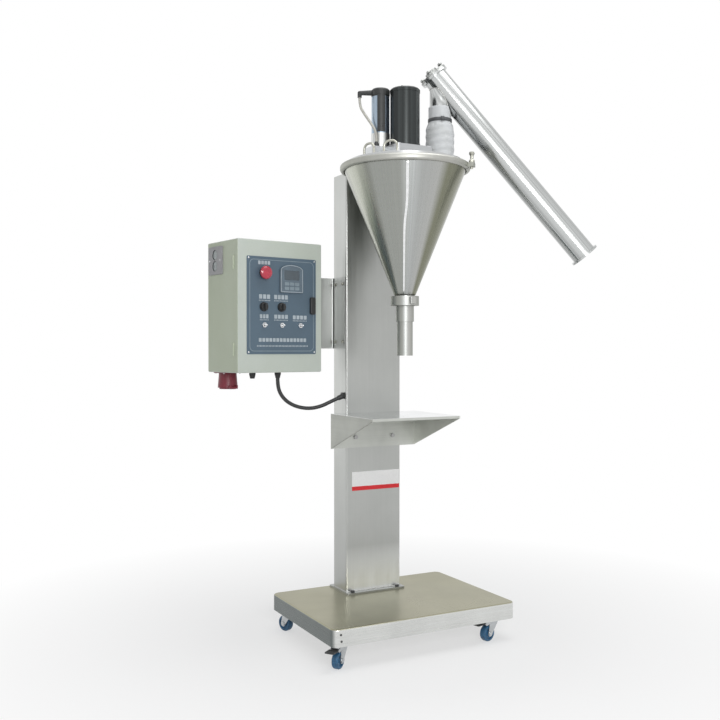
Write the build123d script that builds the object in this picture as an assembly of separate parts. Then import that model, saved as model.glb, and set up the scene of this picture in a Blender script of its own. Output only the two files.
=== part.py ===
"""Auger powder filler: a wheeled base and column that carry a hopper, its drive, a shelf and a control box.

Millimetres. The origin is on the floor, midway between the four casters.
+X runs right along the column's wide face, -Y faces the operator, +Z is up.
"""
import os
from math import acos, cos, pi, radians, sin, tan

from build123d import *

# Clearances
running_clearance = 0.05
body_gap = 0.3
hole_clearance = 0.3
overcut = 1.0

# Base tray and rails
base_length = 632.0
base_shift = 8.0
base_width = 450.0
base_top = 120.0
base_rim = 50.0
base_sheet = 3.0
base_corner = 22.0
base_edge_bend = 5.0
rail_width = 64.0
rail_wall = 2.5
rail_end_gap = 6.0
cross_rail_width = 40.0
cross_rail_x = 115.0

# Casters
caster_inset_x = 54.0
caster_inset_y = 43.0
caster_height = 73.0
caster_trail = 20.0
caster_plate = 60.0
caster_plate_sheet = 2.5
kingpin_radius = 6.0
kingpin_head_radius = 9.0
kingpin_head_height = 3.0
race_radius = 19.0
race_height = 4.0
wheel_diameter = 50.0
wheel_width = 20.0
wheel_side_gap = 1.2
wheel_hub_recess = 3.0
wheel_hub_radius = 8.0
wheel_web_taper = 1.0
wheel_tread_round = 4.0
axle_radius = 4.0
axle_head_radius = 6.5
axle_head_height = 2.5
fork_sheet = 2.5
fork_eye_radius = 9.0
fork_bridge_drop = 4.0
pedal_pin_reach = 16.0
pedal_pin_drop = 15.0
pedal_pin_radius = 2.5
pedal_barrel_radius = 4.2
pedal_eye_radius = 5.5
pedal_length = 34.0
pedal_width = 30.0
pedal_sheet = 2.5
pedal_side_gap = 0.6
caster_headings = {"front_left": 217.0, "front_right": 194.0, "rear_left": 111.0, "rear_right": 72.0}
braked_casters = ("front_left", "front_right")

# Column and foot
column_width = 200.0
column_depth = 92.0
column_top = 1470.0
column_front = 105.0
column_sheet = 2.0
column_bend = 5.0
foot_sheet = 5.0
foot_lip_x = 6.0
foot_lip_y = 22.0
foot_corner = 6.0
foot_bolt_x = 82.0
bolt_radius = 4.0
bolt_head_radius = 7.0
bolt_head_height = 5.5

# Shelf
shelf_width = 310.0
shelf_depth = 272.0
shelf_top = 701.0
shelf_back_height = 112.0
shelf_tip_height = 8.0
shelf_sheet = 3.0
shelf_slide_gap = 0.5
saddle_height = 90.0
saddle_flange = 34.0
shelf_bolt_x = 68.0
shelf_bolt_drop = 78.0

# Control box, in its own frame: u to the right along the front, v to the back, w up
box_corner_x = -487.0
box_corner_y = 50.8
box_corner_z = 834.5
box_yaw = 9.1
box_width = 300.0
box_height = 400.0
box_depth = 185.0
box_sheet = 2.0
box_bend = 5.0
box_lip = 12.0
door_depth = 24.0
door_gap = 0.6
hinge_offset = 1.0
hinge_pin_radius = 1.6
hinge_barrel_radius = 3.2
hinge_barrel_length = 22.0
hinge_length = 40.0
hinge_heights = (70.0, 330.0)
panel_width = 247.0
panel_height = 294.0
panel_sheet = 1.5
panel_u = 154.0
panel_w = 203.0
panel_corner = 4.0

# Controls on the panel
stop_u = 88.0
stop_drop = 49.0
stop_radius = 20.0
stop_height = 22.0
stop_stem_radius = 8.0
stop_travel = 5.0
stop_collar_radius = 15.0
stop_collar_height = 4.0
meter_u = 185.0
meter_drop = 63.5
meter_width = 82.0
meter_height = 86.0
meter_depth = 7.0
meter_arch = 16.0
selector_w = 199.0
selector_us = (88.0, 151.0)
selector_radius = 12.0
selector_height = 15.0
selector_stem_radius = 5.0
selector_collar_radius = 14.0
selector_collar_height = 3.0
toggle_w = 144.0
toggle_us = (89.0, 151.0, 218.0)
toggle_nut_radius = 8.0
toggle_nut_height = 6.0
toggle_bore_radius = 4.0
toggle_ball_radius = 3.6
toggle_lever_radius = 2.2
toggle_lever_tip_radius = 3.0
toggle_lever_length = 17.0
contact_block = 26.0
contact_block_depth = 12.0
latch_u = 263.0
latch_w = 206.0
latch_width = 18.0
latch_length = 54.0
latch_height = 9.0
latch_stem_radius = 6.0
latch_pawl_length = 26.0
latch_pawl_sheet = 3.0

# Fittings on the sides and bottom of the box
outlet_size = 86.0
outlet_sheet = 5.0
outlet_v = 132.0
outlet_w = 342.0
outlet_spacing = 34.0
outlet_face_radius = 15.0
outlet_recess = 2.0
outlet_slot_width = 2.0
outlet_slot_length = 8.0
outlet_slot_floor = 1.0
outlet_slot_spread = 10.75
socket_u = 47.0
socket_v = 147.0
socket_flange = 66.0
socket_flange_sheet = 3.0
socket_radius = 31.0
socket_drop = 45.0
socket_wall = 4.0
socket_taper = 0.88
socket_pin_radius = 2.0
flap_sheet = 4.0
flap_radius = 26.0
flap_ear_inner = 9.0
flap_ear_outer = 14.0
flap_knuckle = 8.5
spare_gland_u = 102.0
spare_gland_v = 90.0
cable_gland_u = 194.0
cable_gland_v = 90.0
gland_radius = 10.0
gland_neck_radius = 8.0
gland_neck_length = 8.0
gland_drop = 20.0
plate_back_gap = 12.0
plate_sheet = 2.0
stand_off_radius = 4.0
stand_off_inset = 10.0

# Modules on the plate in the box: width along u and height along w
module_margin = 45.0
module_depth = 62.0
drive_module = (90.0, 120.0)
supply_module = (90.0, 100.0)
relay_module = (120.0, 70.0)
transformer_module = (70.0, 80.0)
terminal_strip = (210.0, 30.0)
upper_row_w = 300.0
middle_row_w = 165.0
terminal_row_w = 65.0

# Bracket between the box and the column
bracket_bottom = 908.0
bracket_height = 230.0
bracket_sheet = 3.0
bracket_bend = 6.0
bracket_box_flange = 70.0
bracket_edge_inset = 3.0

# Hopper, lid and clamp ring, on the filling axis
hopper_column_gap = 1.5
cone_bottom = 1071.0
cone_top = 1450.0
cone_bottom_radius = 33.0
cone_top_radius = 186.0
cone_sheet = 2.2
rim_lip = 5.0
rim_sheet = 6.0
lid_flange_sheet = 5.0
lid_top = 1475.0
lid_sheet = 4.0
lid_flange_width = 15.0
lid_bush_radius = 24.0
lid_bush_height = 9.0
ring_wall = 7.2
ring_cone_gap = 1.5
ring_round = 8.0
ring_lip = 4.5
ring_gap = 6.0
clamp_angle = -46.0
clamp_lug_length = 16.0
clamp_lug_width = 26.0
clamp_lug_height = 12.0
clamp_stem_radius = 4.0
clamp_knob_radius = 9.0
clamp_knob_height = 34.0
handle_angles = (197.0, 224.0)
handle_inset = 20.0
handle_span = 40.0
handle_height = 34.0
handle_wire = 3.5
hopper_bracket_width = 104.0
hopper_bracket_height = 50.0
hopper_bracket_top = 1430.0
hopper_bracket_sheet = 5.0
hopper_web_x = 40.0

# Filling nozzle
nozzle_bottom = 886.0
neck_bottom = 990.0
nozzle_radius = 24.0
neck_radius = 27.5
nozzle_bore = 22.0
ferrule_radius = 39.0
ferrule_face = 1053.0
ferrule_sheet = 6.0
tri_clamp_radius = 43.0
tri_clamp_lip_radius = 31.0
tri_clamp_lip = 8.0
tri_clamp_ear = 20.0

# Drive case, motors and gears
case_size = 126.0
case_top = 1518.0
case_wall = 4.0
case_corner = 8.0
lobe_left = -108.0
lobe_front = 4.0
lobe_back = 76.0
gear_module = 3.0
pinion_teeth = 16
gear_teeth = 34
gear_width = 14.0
gear_backlash = 0.5
gear_root_depth = 3.75
pressure_angle = 20.0
motor_angle = 146.3
pinion_shaft_radius = 5.0
auger_motor_radius = 46.0
auger_motor_top = 1698.0
motor_shaft_radius = 7.0
motor_shaft_length = 20.0
motor_groove = 1.2
motor_edge_round = 4.0
gearhead_radius = 28.5
gearhead_top = 1563.0
gear_motor_radius = 27.5
gear_motor_cap = 1680.0
gear_motor_top = 1700.0
boot_height = 1690.0
boot_heading = 150.0
boot_reach = 64.0
boot_root_radius = 9.0
boot_tip_radius = 6.5
boot_drop = 14.0
tail_gland_x = -92.0
tail_gland_y = 14.0
tail_gland_radius = 8.0
tail_gland_height = 14.0

# Auger and agitator
auger_shaft_radius = 10.0
auger_radius = 21.2
auger_pitch = 44.0
auger_turns = 5.5
auger_flight = 3.0
auger_tip_gap = 2.0
agitator_tube_radius = 15.0
agitator_bottom = 1180.0
agitator_wall_gap = 12.0
agitator_bar = 16.0
agitator_bar_sheet = 5.0
agitator_top = 1426.0
agitator_foot = 1190.0

# Feed tube, spout and canvas sleeve
spout_x = 126.0
spout_radius = 31.8
spout_bottom = 1590.0
spout_wall = 2.0
feeder_height = 1734.0
feeder_pitch = 49.8
feeder_heading = -27.8
feeder_radius = 38.0
feeder_wall = 2.0
feeder_head = 22.0
feeder_length = 703.0
feeder_flange_radius = 46.0
feeder_flange = 6.0
feeder_bearing_radius = 20.0
feeder_bearing_length = 12.0
feeder_knob_radius = 8.0
feeder_knob_height = 13.0
feeder_knob_circle = 36.0
screw_shaft_radius = 11.0
screw_journal_radius = 8.0
screw_radius = 34.5
screw_pitch = 72.0
screw_flight = 3.0
screw_end_gap = 14.0
stub_radius = 36.0
stub_wall = 2.0
stub_height = 26.0
sleeve_top = 1657.0
sleeve_wall = 2.5
sleeve_cuff_radius = 35.0
sleeve_body_radius = 44.5
sleeve_foot_radius = 40.0
sleeve_tie = 1616.0
band_width = 14.0
band_sheet = 2.0

# Cables
control_cable_diameter = 12.0
control_cable_points = [
    (-310.0, 170.0, 814.5),
    (-310.0, 170.0, 788.0),
    (-299.0, 168.0, 759.0),
    (-276.0, 163.0, 735.0),
    (-242.0, 156.0, 720.0),
    (-205.0, 147.0, 716.0),
    (-170.0, 138.0, 724.0),
    (-142.0, 131.0, 738.0),
    (-119.0, 126.0, 748.0),
]
motor_cable_diameter = 8.0
motor_cable_straight = 25.0
motor_cable_rise = 21.0
motor_cable_middle = [
    (-110.0, -36.0, 1625.0),
    (-102.0, -56.0, 1598.0),
    (-95.0, -73.0, 1574.0),
]

# Places worked out from the sizes above
base_bottom = base_top - base_rim
rim_radius = cone_top_radius + rim_lip
ring_radius = rim_radius + body_gap + ring_wall
ring_lip_radius = cone_top_radius + ring_cone_gap
lid_step_radius = rim_radius - lid_flange_width
handle_radius = lid_step_radius - handle_inset
filling_y = column_front - ring_radius - hopper_column_gap
column_back = column_front + column_depth
column_mid = column_front + column_depth / 2
foot_top = base_top + foot_sheet
swivel_x = base_length / 2 - caster_inset_x
swivel_y = base_width / 2 - caster_inset_y
caster_places = {
    "front_left": (-swivel_x, -swivel_y),
    "front_right": (swivel_x, -swivel_y),
    "rear_left": (-swivel_x, swivel_y),
    "rear_right": (swivel_x, swivel_y),
}
panel_top = panel_w + panel_height / 2
stop_w = panel_top - stop_drop
meter_w = panel_top - meter_drop
rim_top = cone_top + rim_sheet
gland_places = ((spare_gland_u, spare_gland_v), (cable_gland_u, cable_gland_v))
gear_distance = gear_module * (pinion_teeth + gear_teeth) / 2
pinion_x = gear_distance * cos(radians(motor_angle))
pinion_y = gear_distance * sin(radians(motor_angle))
boot_tip_x = pinion_x + boot_reach * cos(radians(boot_heading))
boot_tip_y = filling_y + pinion_y + boot_reach * sin(radians(boot_heading))
boot_bottom = boot_height - boot_drop
tail_y = filling_y + tail_gland_y
tail_top = case_top + tail_gland_height
motor_cable_points = [
    (boot_tip_x, boot_tip_y, boot_bottom),
    (boot_tip_x, boot_tip_y, boot_bottom - motor_cable_straight),
    *motor_cable_middle,
    (tail_gland_x, tail_y, tail_top + motor_cable_rise),
    (tail_gland_x, tail_y, tail_top),
]
gear_bottom = lid_top + lid_bush_height + body_gap
gear_top = gear_bottom + gear_width
filling_axis = Location((0, filling_y, 0))
box_frame = Location((box_corner_x, box_corner_y, box_corner_z), (0, 0, box_yaw))
feeder_plane = Plane(
    origin=(spout_x, filling_y, feeder_height),
    z_dir=(
        cos(radians(feeder_pitch)) * cos(radians(feeder_heading)),
        cos(radians(feeder_pitch)) * sin(radians(feeder_heading)),
        -sin(radians(feeder_pitch)),
    ),
)

parts = {}


# Shared shapes
def block(x_span, y_span, z_span):
    """Box between two values along each axis."""
    size = [high - low for low, high in (x_span, y_span, z_span)]
    middle = [(high + low) / 2 for low, high in (x_span, y_span, z_span)]
    return Pos(*middle) * Box(*size)


def post(radius, bottom, top, x=0.0, y=0.0):
    """Upright round bar between two heights."""
    return Pos(x, y, (bottom + top) / 2) * Cylinder(radius, top - bottom)


def bar_along_y(radius, y_low, y_high, x, z):
    """Round bar along Y."""
    return Pos(x, (y_low + y_high) / 2, z) * Rot(90, 0, 0) * Cylinder(radius, y_high - y_low)


def bar_along_x(radius, x_low, x_high, y, z):
    """Round bar along X."""
    return Pos((x_low + x_high) / 2, y, z) * Rot(0, 90, 0) * Cylinder(radius, x_high - x_low)


def turned(profile):
    """Solid of revolution about Z from (radius, height) corners."""
    face = Plane.XZ * make_face(Polyline(*profile, close=True))
    return revolve(face, axis=Axis.Z)


def hex_bolt(head_bottom, shank_bottom):
    """Hexagon bolt pointing down, with its head standing on head_bottom."""
    head = Pos(0, 0, head_bottom) * extrude(RegularPolygon(bolt_head_radius, 6), bolt_head_height)
    return head + post(bolt_radius, shank_bottom, head_bottom)


def flight(inner, outer, thickness, pitch, turns):
    """Helical flight that climbs from z = 0 round a shaft."""
    middle = (inner + outer) / 2
    path = Helix(pitch=pitch, height=pitch * turns, radius=middle)
    start = Plane(origin=path @ 0, x_dir=(1, 0, 0), z_dir=path % 0)
    return sweep(start * Rectangle(outer - inner, thickness), path=path, is_frenet=True)


# Base tray, rails and foot
def build_base():
    outline = RectangleRounded(base_length, base_width, base_corner)
    tray = Pos(base_shift, 0, base_bottom) * extrude(outline, base_rim)
    tray = fillet(tray.faces().sort_by(Axis.Z)[-1].edges(), base_edge_bend)
    inner = RectangleRounded(
        base_length - 2 * base_sheet, base_width - 2 * base_sheet, base_corner - base_sheet
    )
    tray -= Pos(base_shift, 0, base_bottom) * extrude(inner, base_rim - base_sheet)
    rail_top = base_top - base_sheet
    rail_height = rail_top - caster_height
    rail_length = base_length - 2 * (base_sheet + rail_end_gap + base_corner / 2)

    def tube(width):
        profile = Rectangle(width, rail_height)
        return profile - Rectangle(width - 2 * rail_wall, rail_height - 2 * rail_wall)

    rails = []
    rail_middle = caster_height + rail_height / 2
    for y in (-swivel_y, swivel_y):
        rail = Plane.YZ * extrude(tube(rail_width), rail_length / 2, both=True)
        rails.append(Pos(base_shift, y, rail_middle) * rail)
    cross_half = swivel_y - rail_width / 2
    for x in (-cross_rail_x, cross_rail_x):
        rail = Plane.XZ * extrude(tube(cross_rail_width), cross_half, both=True)
        rails.append(Pos(x, 0, rail_middle) * rail)

    foot_size = (column_width + 2 * foot_lip_x, column_depth + 2 * foot_lip_y)
    foot = Pos(0, column_mid, base_top) * extrude(RectangleRounded(*foot_size, foot_corner), foot_sheet)
    bolts = []
    bolt_y = column_depth / 2 + foot_lip_y / 2
    for x in (-foot_bolt_x, foot_bolt_x):
        for y in (column_mid - bolt_y, column_mid + bolt_y):
            hole = post(bolt_radius + running_clearance, base_bottom, foot_top, x, y)
            foot -= hole
            tray -= hole
            bolts.append(Pos(x, y, 0) * hex_bolt(foot_top, base_top - base_sheet))
    parts["base_tray"] = tray
    parts["base_rails"] = Compound(rails)
    parts["column_foot"] = foot
    parts["frame_bolts"] = Compound(bolts)


# Casters
def build_casters():
    plate_bottom = caster_height - caster_plate_sheet
    race_top = plate_bottom - body_gap
    bridge_top = race_top - race_height
    bridge_bottom = bridge_top - fork_bridge_drop
    wheel_radius = wheel_diameter / 2
    leg_inner = wheel_width / 2 + wheel_side_gap
    leg_outer = leg_inner + fork_sheet
    head_top = bridge_bottom - body_gap
    pin_x = caster_trail + pedal_pin_reach
    pin_z = caster_height - pedal_pin_drop

    def caster_plate_solid():
        plate = post(kingpin_radius, head_top, plate_bottom)
        plate += post(kingpin_head_radius, head_top - kingpin_head_height, head_top)
        sheet = extrude(RectangleRounded(caster_plate, caster_plate, base_edge_bend), caster_plate_sheet)
        return plate + Pos(0, 0, plate_bottom) * sheet

    def fork(braked):
        eye = Pos(caster_trail, wheel_radius) * Circle(fork_eye_radius)
        shoulder = Pos(0, (bridge_top + bridge_bottom) / 2) * Rectangle(
            2 * race_radius, bridge_top - bridge_bottom
        )
        outlines = [*eye.edges(), *shoulder.edges()]
        leg = make_hull(outlines)
        if braked:
            ear = Pos(pin_x, pin_z) * Circle(pedal_eye_radius)
            leg += make_hull([*ear.edges(), *shoulder.edges()])
            leg -= Pos(pin_x, pin_z) * Circle(pedal_pin_radius + running_clearance)
        leg -= Pos(caster_trail, wheel_radius) * Circle(axle_radius)
        # The sketch is drawn in x and z, and Plane.XZ looks along -Y
        near = Plane.XZ * extrude(leg, fork_sheet)
        body = Pos(0, -leg_inner, 0) * near + Pos(0, leg_outer, 0) * near
        bridge = block((-race_radius, race_radius), (-leg_outer, leg_outer), (bridge_bottom, bridge_top))
        body += bridge & post(race_radius, bridge_bottom, bridge_top)
        body += post(race_radius, bridge_top, race_top)
        body -= post(kingpin_radius + running_clearance, bridge_bottom, race_top)
        axle = bar_along_y(axle_radius, -leg_outer, leg_outer, caster_trail, wheel_radius)
        for side in (-1, 1):
            ends = sorted((side * leg_outer, side * (leg_outer + axle_head_height)))
            axle += bar_along_y(axle_head_radius, *ends, caster_trail, wheel_radius)
        solids = [body, axle]
        if braked:
            pin = bar_along_y(pedal_pin_radius, -leg_outer, leg_outer, pin_x, pin_z)
            solids.append(pin)
        return Compound(solids)

    def wheel():
        half = wheel_width / 2
        hub = axle_radius + running_clearance
        rim = wheel_radius - 2 * wheel_tread_round
        profile = [
            (hub, -half),
            (wheel_hub_radius, -half),
            (wheel_hub_radius + wheel_web_taper, -half + wheel_hub_recess),
            (rim - wheel_web_taper, -half + wheel_hub_recess),
            (rim, -half),
            (wheel_radius - wheel_tread_round, -half),
            (wheel_radius - wheel_tread_round * 0.3, -half + wheel_tread_round * 0.35),
            (wheel_radius, -half + wheel_tread_round),
        ]
        profile += [(r, -z) for r, z in reversed(profile)]
        return Pos(caster_trail, 0, wheel_radius) * Rot(90, 0, 0) * turned(profile)

    def pedal():
        half = leg_inner - pedal_side_gap
        barrel = bar_along_y(pedal_barrel_radius, -half, half, pin_x, pin_z)
        tread_start = pin_x + pedal_eye_radius + 2 * pedal_side_gap
        arm = block((pin_x, tread_start), (-half, half), (pin_z, pin_z + pedal_sheet))
        tread = Pos(tread_start + pedal_length / 2, 0) * RectangleRounded(
            pedal_length, pedal_width, base_edge_bend
        )
        lever = barrel + arm + Pos(0, 0, pin_z) * extrude(tread, pedal_sheet)
        bore = bar_along_y(pedal_pin_radius + running_clearance, -half, half, pin_x, pin_z)
        return lever - bore

    plates = []
    for corner, (x, y) in caster_places.items():
        turn = Location((x, y, 0), (0, 0, caster_headings[corner]))
        plates.append(Pos(x, y, 0) * caster_plate_solid())
        braked = corner in braked_casters
        parts[f"fork_{corner}"] = turn * fork(braked)
        parts[f"wheel_{corner}"] = turn * wheel()
        if braked:
            parts[f"brake_{corner}"] = turn * pedal()
    parts["caster_plates"] = Compound(plates)


# Column
def build_column():
    outline = Rectangle(column_width, column_depth)
    outline = fillet(outline.vertices(), column_bend)
    inner = Rectangle(column_width - 2 * column_sheet, column_depth - 2 * column_sheet)
    inner = fillet(inner.vertices(), column_bend - column_sheet)
    tube = Pos(0, column_mid, foot_top) * extrude(outline, column_top - foot_top)
    tube -= Pos(0, column_mid, foot_top) * extrude(inner, column_top - column_sheet - foot_top)
    end = Vector(*control_cable_points[-1])
    lean = end - Vector(*control_cable_points[-2])
    entry = end + lean * ((-column_width / 2 - end.X) / lean.X)
    wall = -column_width / 2
    tube -= bar_along_x(gland_neck_radius, wall - overcut, wall + column_sheet + overcut, entry.Y, entry.Z)
    parts["column"] = tube


# Shelf
def build_shelf():
    plate_back = column_front - shelf_slide_gap
    plate_front = plate_back - shelf_sheet
    shelf_front = plate_back - shelf_depth
    half = shelf_width / 2
    bottom = shelf_top - shelf_back_height
    table = block((-half, half), (shelf_front, plate_back), (shelf_top - shelf_sheet, shelf_top))
    back = block((-half, half), (plate_front, plate_back), (bottom, shelf_top))
    side = make_face(
        Polyline(
            (plate_back, bottom),
            (plate_back, shelf_top),
            (shelf_front, shelf_top),
            (shelf_front, shelf_top - shelf_tip_height),
            close=True,
        )
    )
    gusset = Plane.YZ * extrude(side, shelf_sheet)
    lip = block((-half, half), (shelf_front, shelf_front + shelf_sheet),
                (shelf_top - shelf_tip_height, shelf_top))
    shelf = table + back + lip + Pos(-half, 0, 0) * gusset + Pos(half - shelf_sheet, 0, 0) * gusset
    bolt_z = shelf_top - shelf_bolt_drop
    bolts = []
    for x in (-shelf_bolt_x, shelf_bolt_x):
        bolt_hole = bolt_radius + running_clearance
        shelf -= bar_along_y(bolt_hole, plate_front - overcut, plate_back + overcut, x, bolt_z)
        tip = column_front - plate_front - body_gap
        bolts.append(Pos(x, plate_front, bolt_z) * Rot(90, 0, 0) * hex_bolt(0, -tip))

    inner_x = column_width / 2 + shelf_slide_gap
    outer_x = inner_x + shelf_sheet
    inner_y = column_back + shelf_slide_gap
    outer_y = inner_y + shelf_sheet
    strap = Pos(0, (plate_back + outer_y) / 2) * Rectangle(2 * outer_x, outer_y - plate_back)
    strap -= Pos(0, (plate_back + inner_y) / 2) * Rectangle(2 * inner_x, inner_y - plate_back)
    for direction in (-1, 1):
        middle = direction * (outer_x + saddle_flange / 2)
        strap += Pos(middle, plate_back + shelf_sheet / 2) * Rectangle(saddle_flange, shelf_sheet)
    saddle_bottom = shelf_top - (shelf_back_height + saddle_height) / 2
    parts["shelf_table"] = shelf
    parts["shelf_saddle"] = Pos(0, 0, saddle_bottom) * extrude(strap, saddle_height)
    parts["shelf_bolts"] = Compound(bolts)


# Control box shell, door and panel
def front_bar(radius, v_low, v_high, u, w):
    """Round bar along v in the box's frame."""
    return bar_along_y(radius, v_low, v_high, u, w)


def build_box():
    shell_front = door_depth + door_gap
    rounded = Rectangle(box_width, box_height)
    rounded = fillet(rounded.vertices(), box_bend)
    inside = Rectangle(box_width - 2 * box_sheet, box_height - 2 * box_sheet)
    inside = fillet(inside.vertices(), box_bend - box_sheet)
    mouth = Rectangle(box_width - 2 * box_lip, box_height - 2 * box_lip)
    centre = Pos(box_width / 2, 0, box_height / 2)
    # Plane.XZ extrudes towards -v, so each prism starts at its far end
    shell = centre * Pos(0, box_depth, 0) * (Plane.XZ * extrude(rounded, box_depth - shell_front))
    shell -= centre * Pos(0, box_depth - box_sheet, 0) * (
        Plane.XZ * extrude(inside, box_depth - 2 * box_sheet - shell_front)
    )
    shell -= centre * Pos(0, shell_front + box_sheet, 0) * (Plane.XZ * extrude(mouth, box_sheet))
    for u, v in gland_places:
        shell -= post(gland_neck_radius, -overcut, box_sheet + overcut, u, v)
    socket_hole = socket_radius - socket_wall
    shell -= post(socket_hole, -overcut, box_sheet + overcut, socket_u, socket_v)
    hinge_v = door_depth + door_gap / 2
    hinge_half = hinge_length / 2
    knuckle_half = hinge_barrel_length / 2
    notch_radius = hinge_barrel_radius + body_gap
    for w in hinge_heights:
        # The door's knuckle turns in a notch of the shell's edge
        notch = knuckle_half + body_gap
        shell -= post(notch_radius, w - notch, w + notch, -hinge_offset, hinge_v)
        shell += post(hinge_pin_radius, w - hinge_half, w + hinge_half, -hinge_offset, hinge_v)
        for low, high in ((w - hinge_half, w - notch), (w + notch, w + hinge_half)):
            shell += post(hinge_barrel_radius, low, high, -hinge_offset, hinge_v)
    parts["box_shell"] = box_frame * shell

    pan = centre * Pos(0, door_depth, 0) * (Plane.XZ * extrude(rounded, door_depth))
    pan = fillet(pan.faces().sort_by(Axis.Y)[0].edges(), box_bend - box_sheet)
    pan -= centre * Pos(0, door_depth, 0) * (Plane.XZ * extrude(inside, door_depth - box_sheet))
    for w in hinge_heights:
        # The shell's knuckles turn in notches of the door's edge
        reach = hinge_half + body_gap
        for low, high in ((w - reach, w - knuckle_half), (w + knuckle_half, w + reach)):
            pan -= post(notch_radius, low, high, -hinge_offset, hinge_v)
        low, high = w - knuckle_half, w + knuckle_half
        pan += post(hinge_barrel_radius, low, high, -hinge_offset, hinge_v)
        pan -= post(hinge_pin_radius + running_clearance, low, high, -hinge_offset, hinge_v)
    panel_face = RectangleRounded(panel_width, panel_height, panel_corner)
    panel = Pos(panel_u, 0, panel_w) * (Plane.XZ * extrude(panel_face, panel_sheet))
    holes = [(stop_u, stop_w, stop_stem_radius)]
    holes += [(u, selector_w, selector_stem_radius) for u in selector_us]
    holes += [(u, toggle_w, toggle_bore_radius) for u in toggle_us]
    for u, w, radius in holes:
        drill = front_bar(radius + body_gap, -panel_sheet - overcut, box_sheet + overcut, u, w)
        pan -= drill
        panel -= drill
    stem_hole = latch_stem_radius + running_clearance
    drill = front_bar(stem_hole, -panel_sheet - overcut, box_sheet + overcut, latch_u, latch_w)
    pan -= drill
    panel -= drill
    parts["box_door"] = box_frame * pan
    parts["panel_plate"] = box_frame * panel


# Controls on the panel
def build_controls():
    face = -panel_sheet
    collar_top = face - stop_collar_height
    cap_bottom = collar_top - stop_travel - body_gap
    stem_end = box_sheet + body_gap + stop_travel

    def ring(outer, inner, height, u, w):
        return front_bar(outer, face - height, face, u, w) - front_bar(inner, face - height, face, u, w)

    bezels = [ring(stop_collar_radius, stop_stem_radius + body_gap, stop_collar_height, stop_u, stop_w)]
    for u in selector_us:
        inner = selector_stem_radius + body_gap
        bezels.append(ring(selector_collar_radius, inner, selector_collar_height, u, selector_w))
    for u in toggle_us:
        nut = Pos(u, 0, toggle_w) * (
            Plane.XZ * extrude(RegularPolygon(toggle_nut_radius, 6), toggle_nut_height)
        )
        bore = front_bar(toggle_bore_radius + body_gap, -toggle_nut_height, 0, u, toggle_w)
        bezels.append(Pos(0, face, 0) * (nut - bore))
    blocks = [(stop_u, stop_w)]
    blocks += [(u, selector_w) for u in selector_us]
    blocks += [(u, toggle_w) for u in toggle_us]
    half = contact_block / 2
    for u, w in blocks:
        depth = (box_sheet, box_sheet + contact_block_depth)
        contact = block((u - half, u + half), depth, (w - half, w + half))
        contact -= front_bar(stop_stem_radius + body_gap, box_sheet, stem_end + overcut, u, w)
        bezels.append(contact)
    parts["panel_bezels"] = box_frame * Compound(bezels)

    # Mushroom head of the stop button, turned about the panel's normal
    head = turned(
        [
            (0, 0),
            (stop_radius * 0.72, 0),
            (stop_radius * 0.95, stop_height * 0.14),
            (stop_radius, stop_height * 0.3),
            (stop_radius * 0.94, stop_height * 0.46),
            (stop_radius * 0.7, stop_height * 0.58),
            (0, stop_height * 0.66),
        ]
    )
    stop = Pos(stop_u, cap_bottom, stop_w) * Rot(90, 0, 0) * head
    stop += front_bar(stop_stem_radius, cap_bottom, box_sheet + body_gap, stop_u, stop_w)
    parts["stop_button"] = box_frame * stop

    # Meter with an arched top
    low = -meter_height / 2
    high = meter_height / 2 - meter_arch
    side = meter_width / 2
    outline = Polyline((-side, high), (-side, low), (side, low), (side, high))
    arch = ThreePointArc((side, high), (0, high + meter_arch), (-side, high))
    case = Plane.XZ * extrude(make_face([*outline.edges(), *arch.edges()]), meter_depth)
    case = fillet(case.faces().sort_by(Axis.Y)[0].edges(), panel_sheet)
    window_face = Pos(0, meter_height * 0.12) * Rectangle(meter_width * 0.66, meter_height * 0.34)
    window = Plane.XZ * extrude(window_face, panel_sheet)
    case -= Pos(0, -meter_depth + panel_sheet, 0) * window
    parts["meter"] = box_frame * Pos(meter_u, face, meter_w) * case

    for number, u in enumerate(selector_us, 1):
        top = face - selector_collar_height - body_gap
        knob = turned(
            [
                (0, 0),
                (selector_radius, 0),
                (selector_radius, selector_height * 0.35),
                (selector_radius * 0.86, selector_height * 0.5),
                (0, selector_height * 0.5),
            ]
        )
        knob += block((-selector_radius * 0.3, selector_radius * 0.3),
                      (-selector_radius * 0.86, selector_radius * 0.86), (0, selector_height))
        knob = Pos(u, top, selector_w) * Rot(90, 0, 0) * knob
        knob += front_bar(selector_stem_radius, top, box_sheet + body_gap, u, selector_w)
        parts[f"selector_{number}"] = box_frame * knob

    for number, u in enumerate(toggle_us, 1):
        pivot = face - toggle_nut_height / 2
        lever = Pos(u, pivot, toggle_w) * Sphere(toggle_ball_radius)
        stick = Cone(toggle_lever_radius, toggle_lever_tip_radius, toggle_lever_length)
        stick = fillet(stick.faces().sort_by(Axis.Z)[-1].edges(), toggle_lever_radius)
        lever += Pos(u, pivot - toggle_lever_length / 2, toggle_w) * Rot(90, 0, 0) * stick
        lever += front_bar(toggle_lever_radius, pivot, box_sheet - body_gap, u, toggle_w)
        parts[f"toggle_{number}"] = box_frame * lever

    handle_face = RectangleRounded(latch_width, latch_length, latch_width / 3)
    handle = Plane.XZ * extrude(handle_face, latch_height)
    handle = fillet(handle.faces().sort_by(Axis.Y)[0].edges(), latch_height / 4)
    seat = -panel_sheet - body_gap
    latch = Pos(latch_u, seat, latch_w) * handle
    pawl_front = box_sheet + body_gap
    latch += front_bar(latch_stem_radius, seat, pawl_front + latch_pawl_sheet, latch_u, latch_w)
    latch += block(
        (latch_u - latch_stem_radius, latch_u + latch_stem_radius),
        (pawl_front, pawl_front + latch_pawl_sheet),
        (latch_w - latch_pawl_length, latch_w + latch_stem_radius),
    )
    parts["door_latch"] = box_frame * latch


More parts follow.
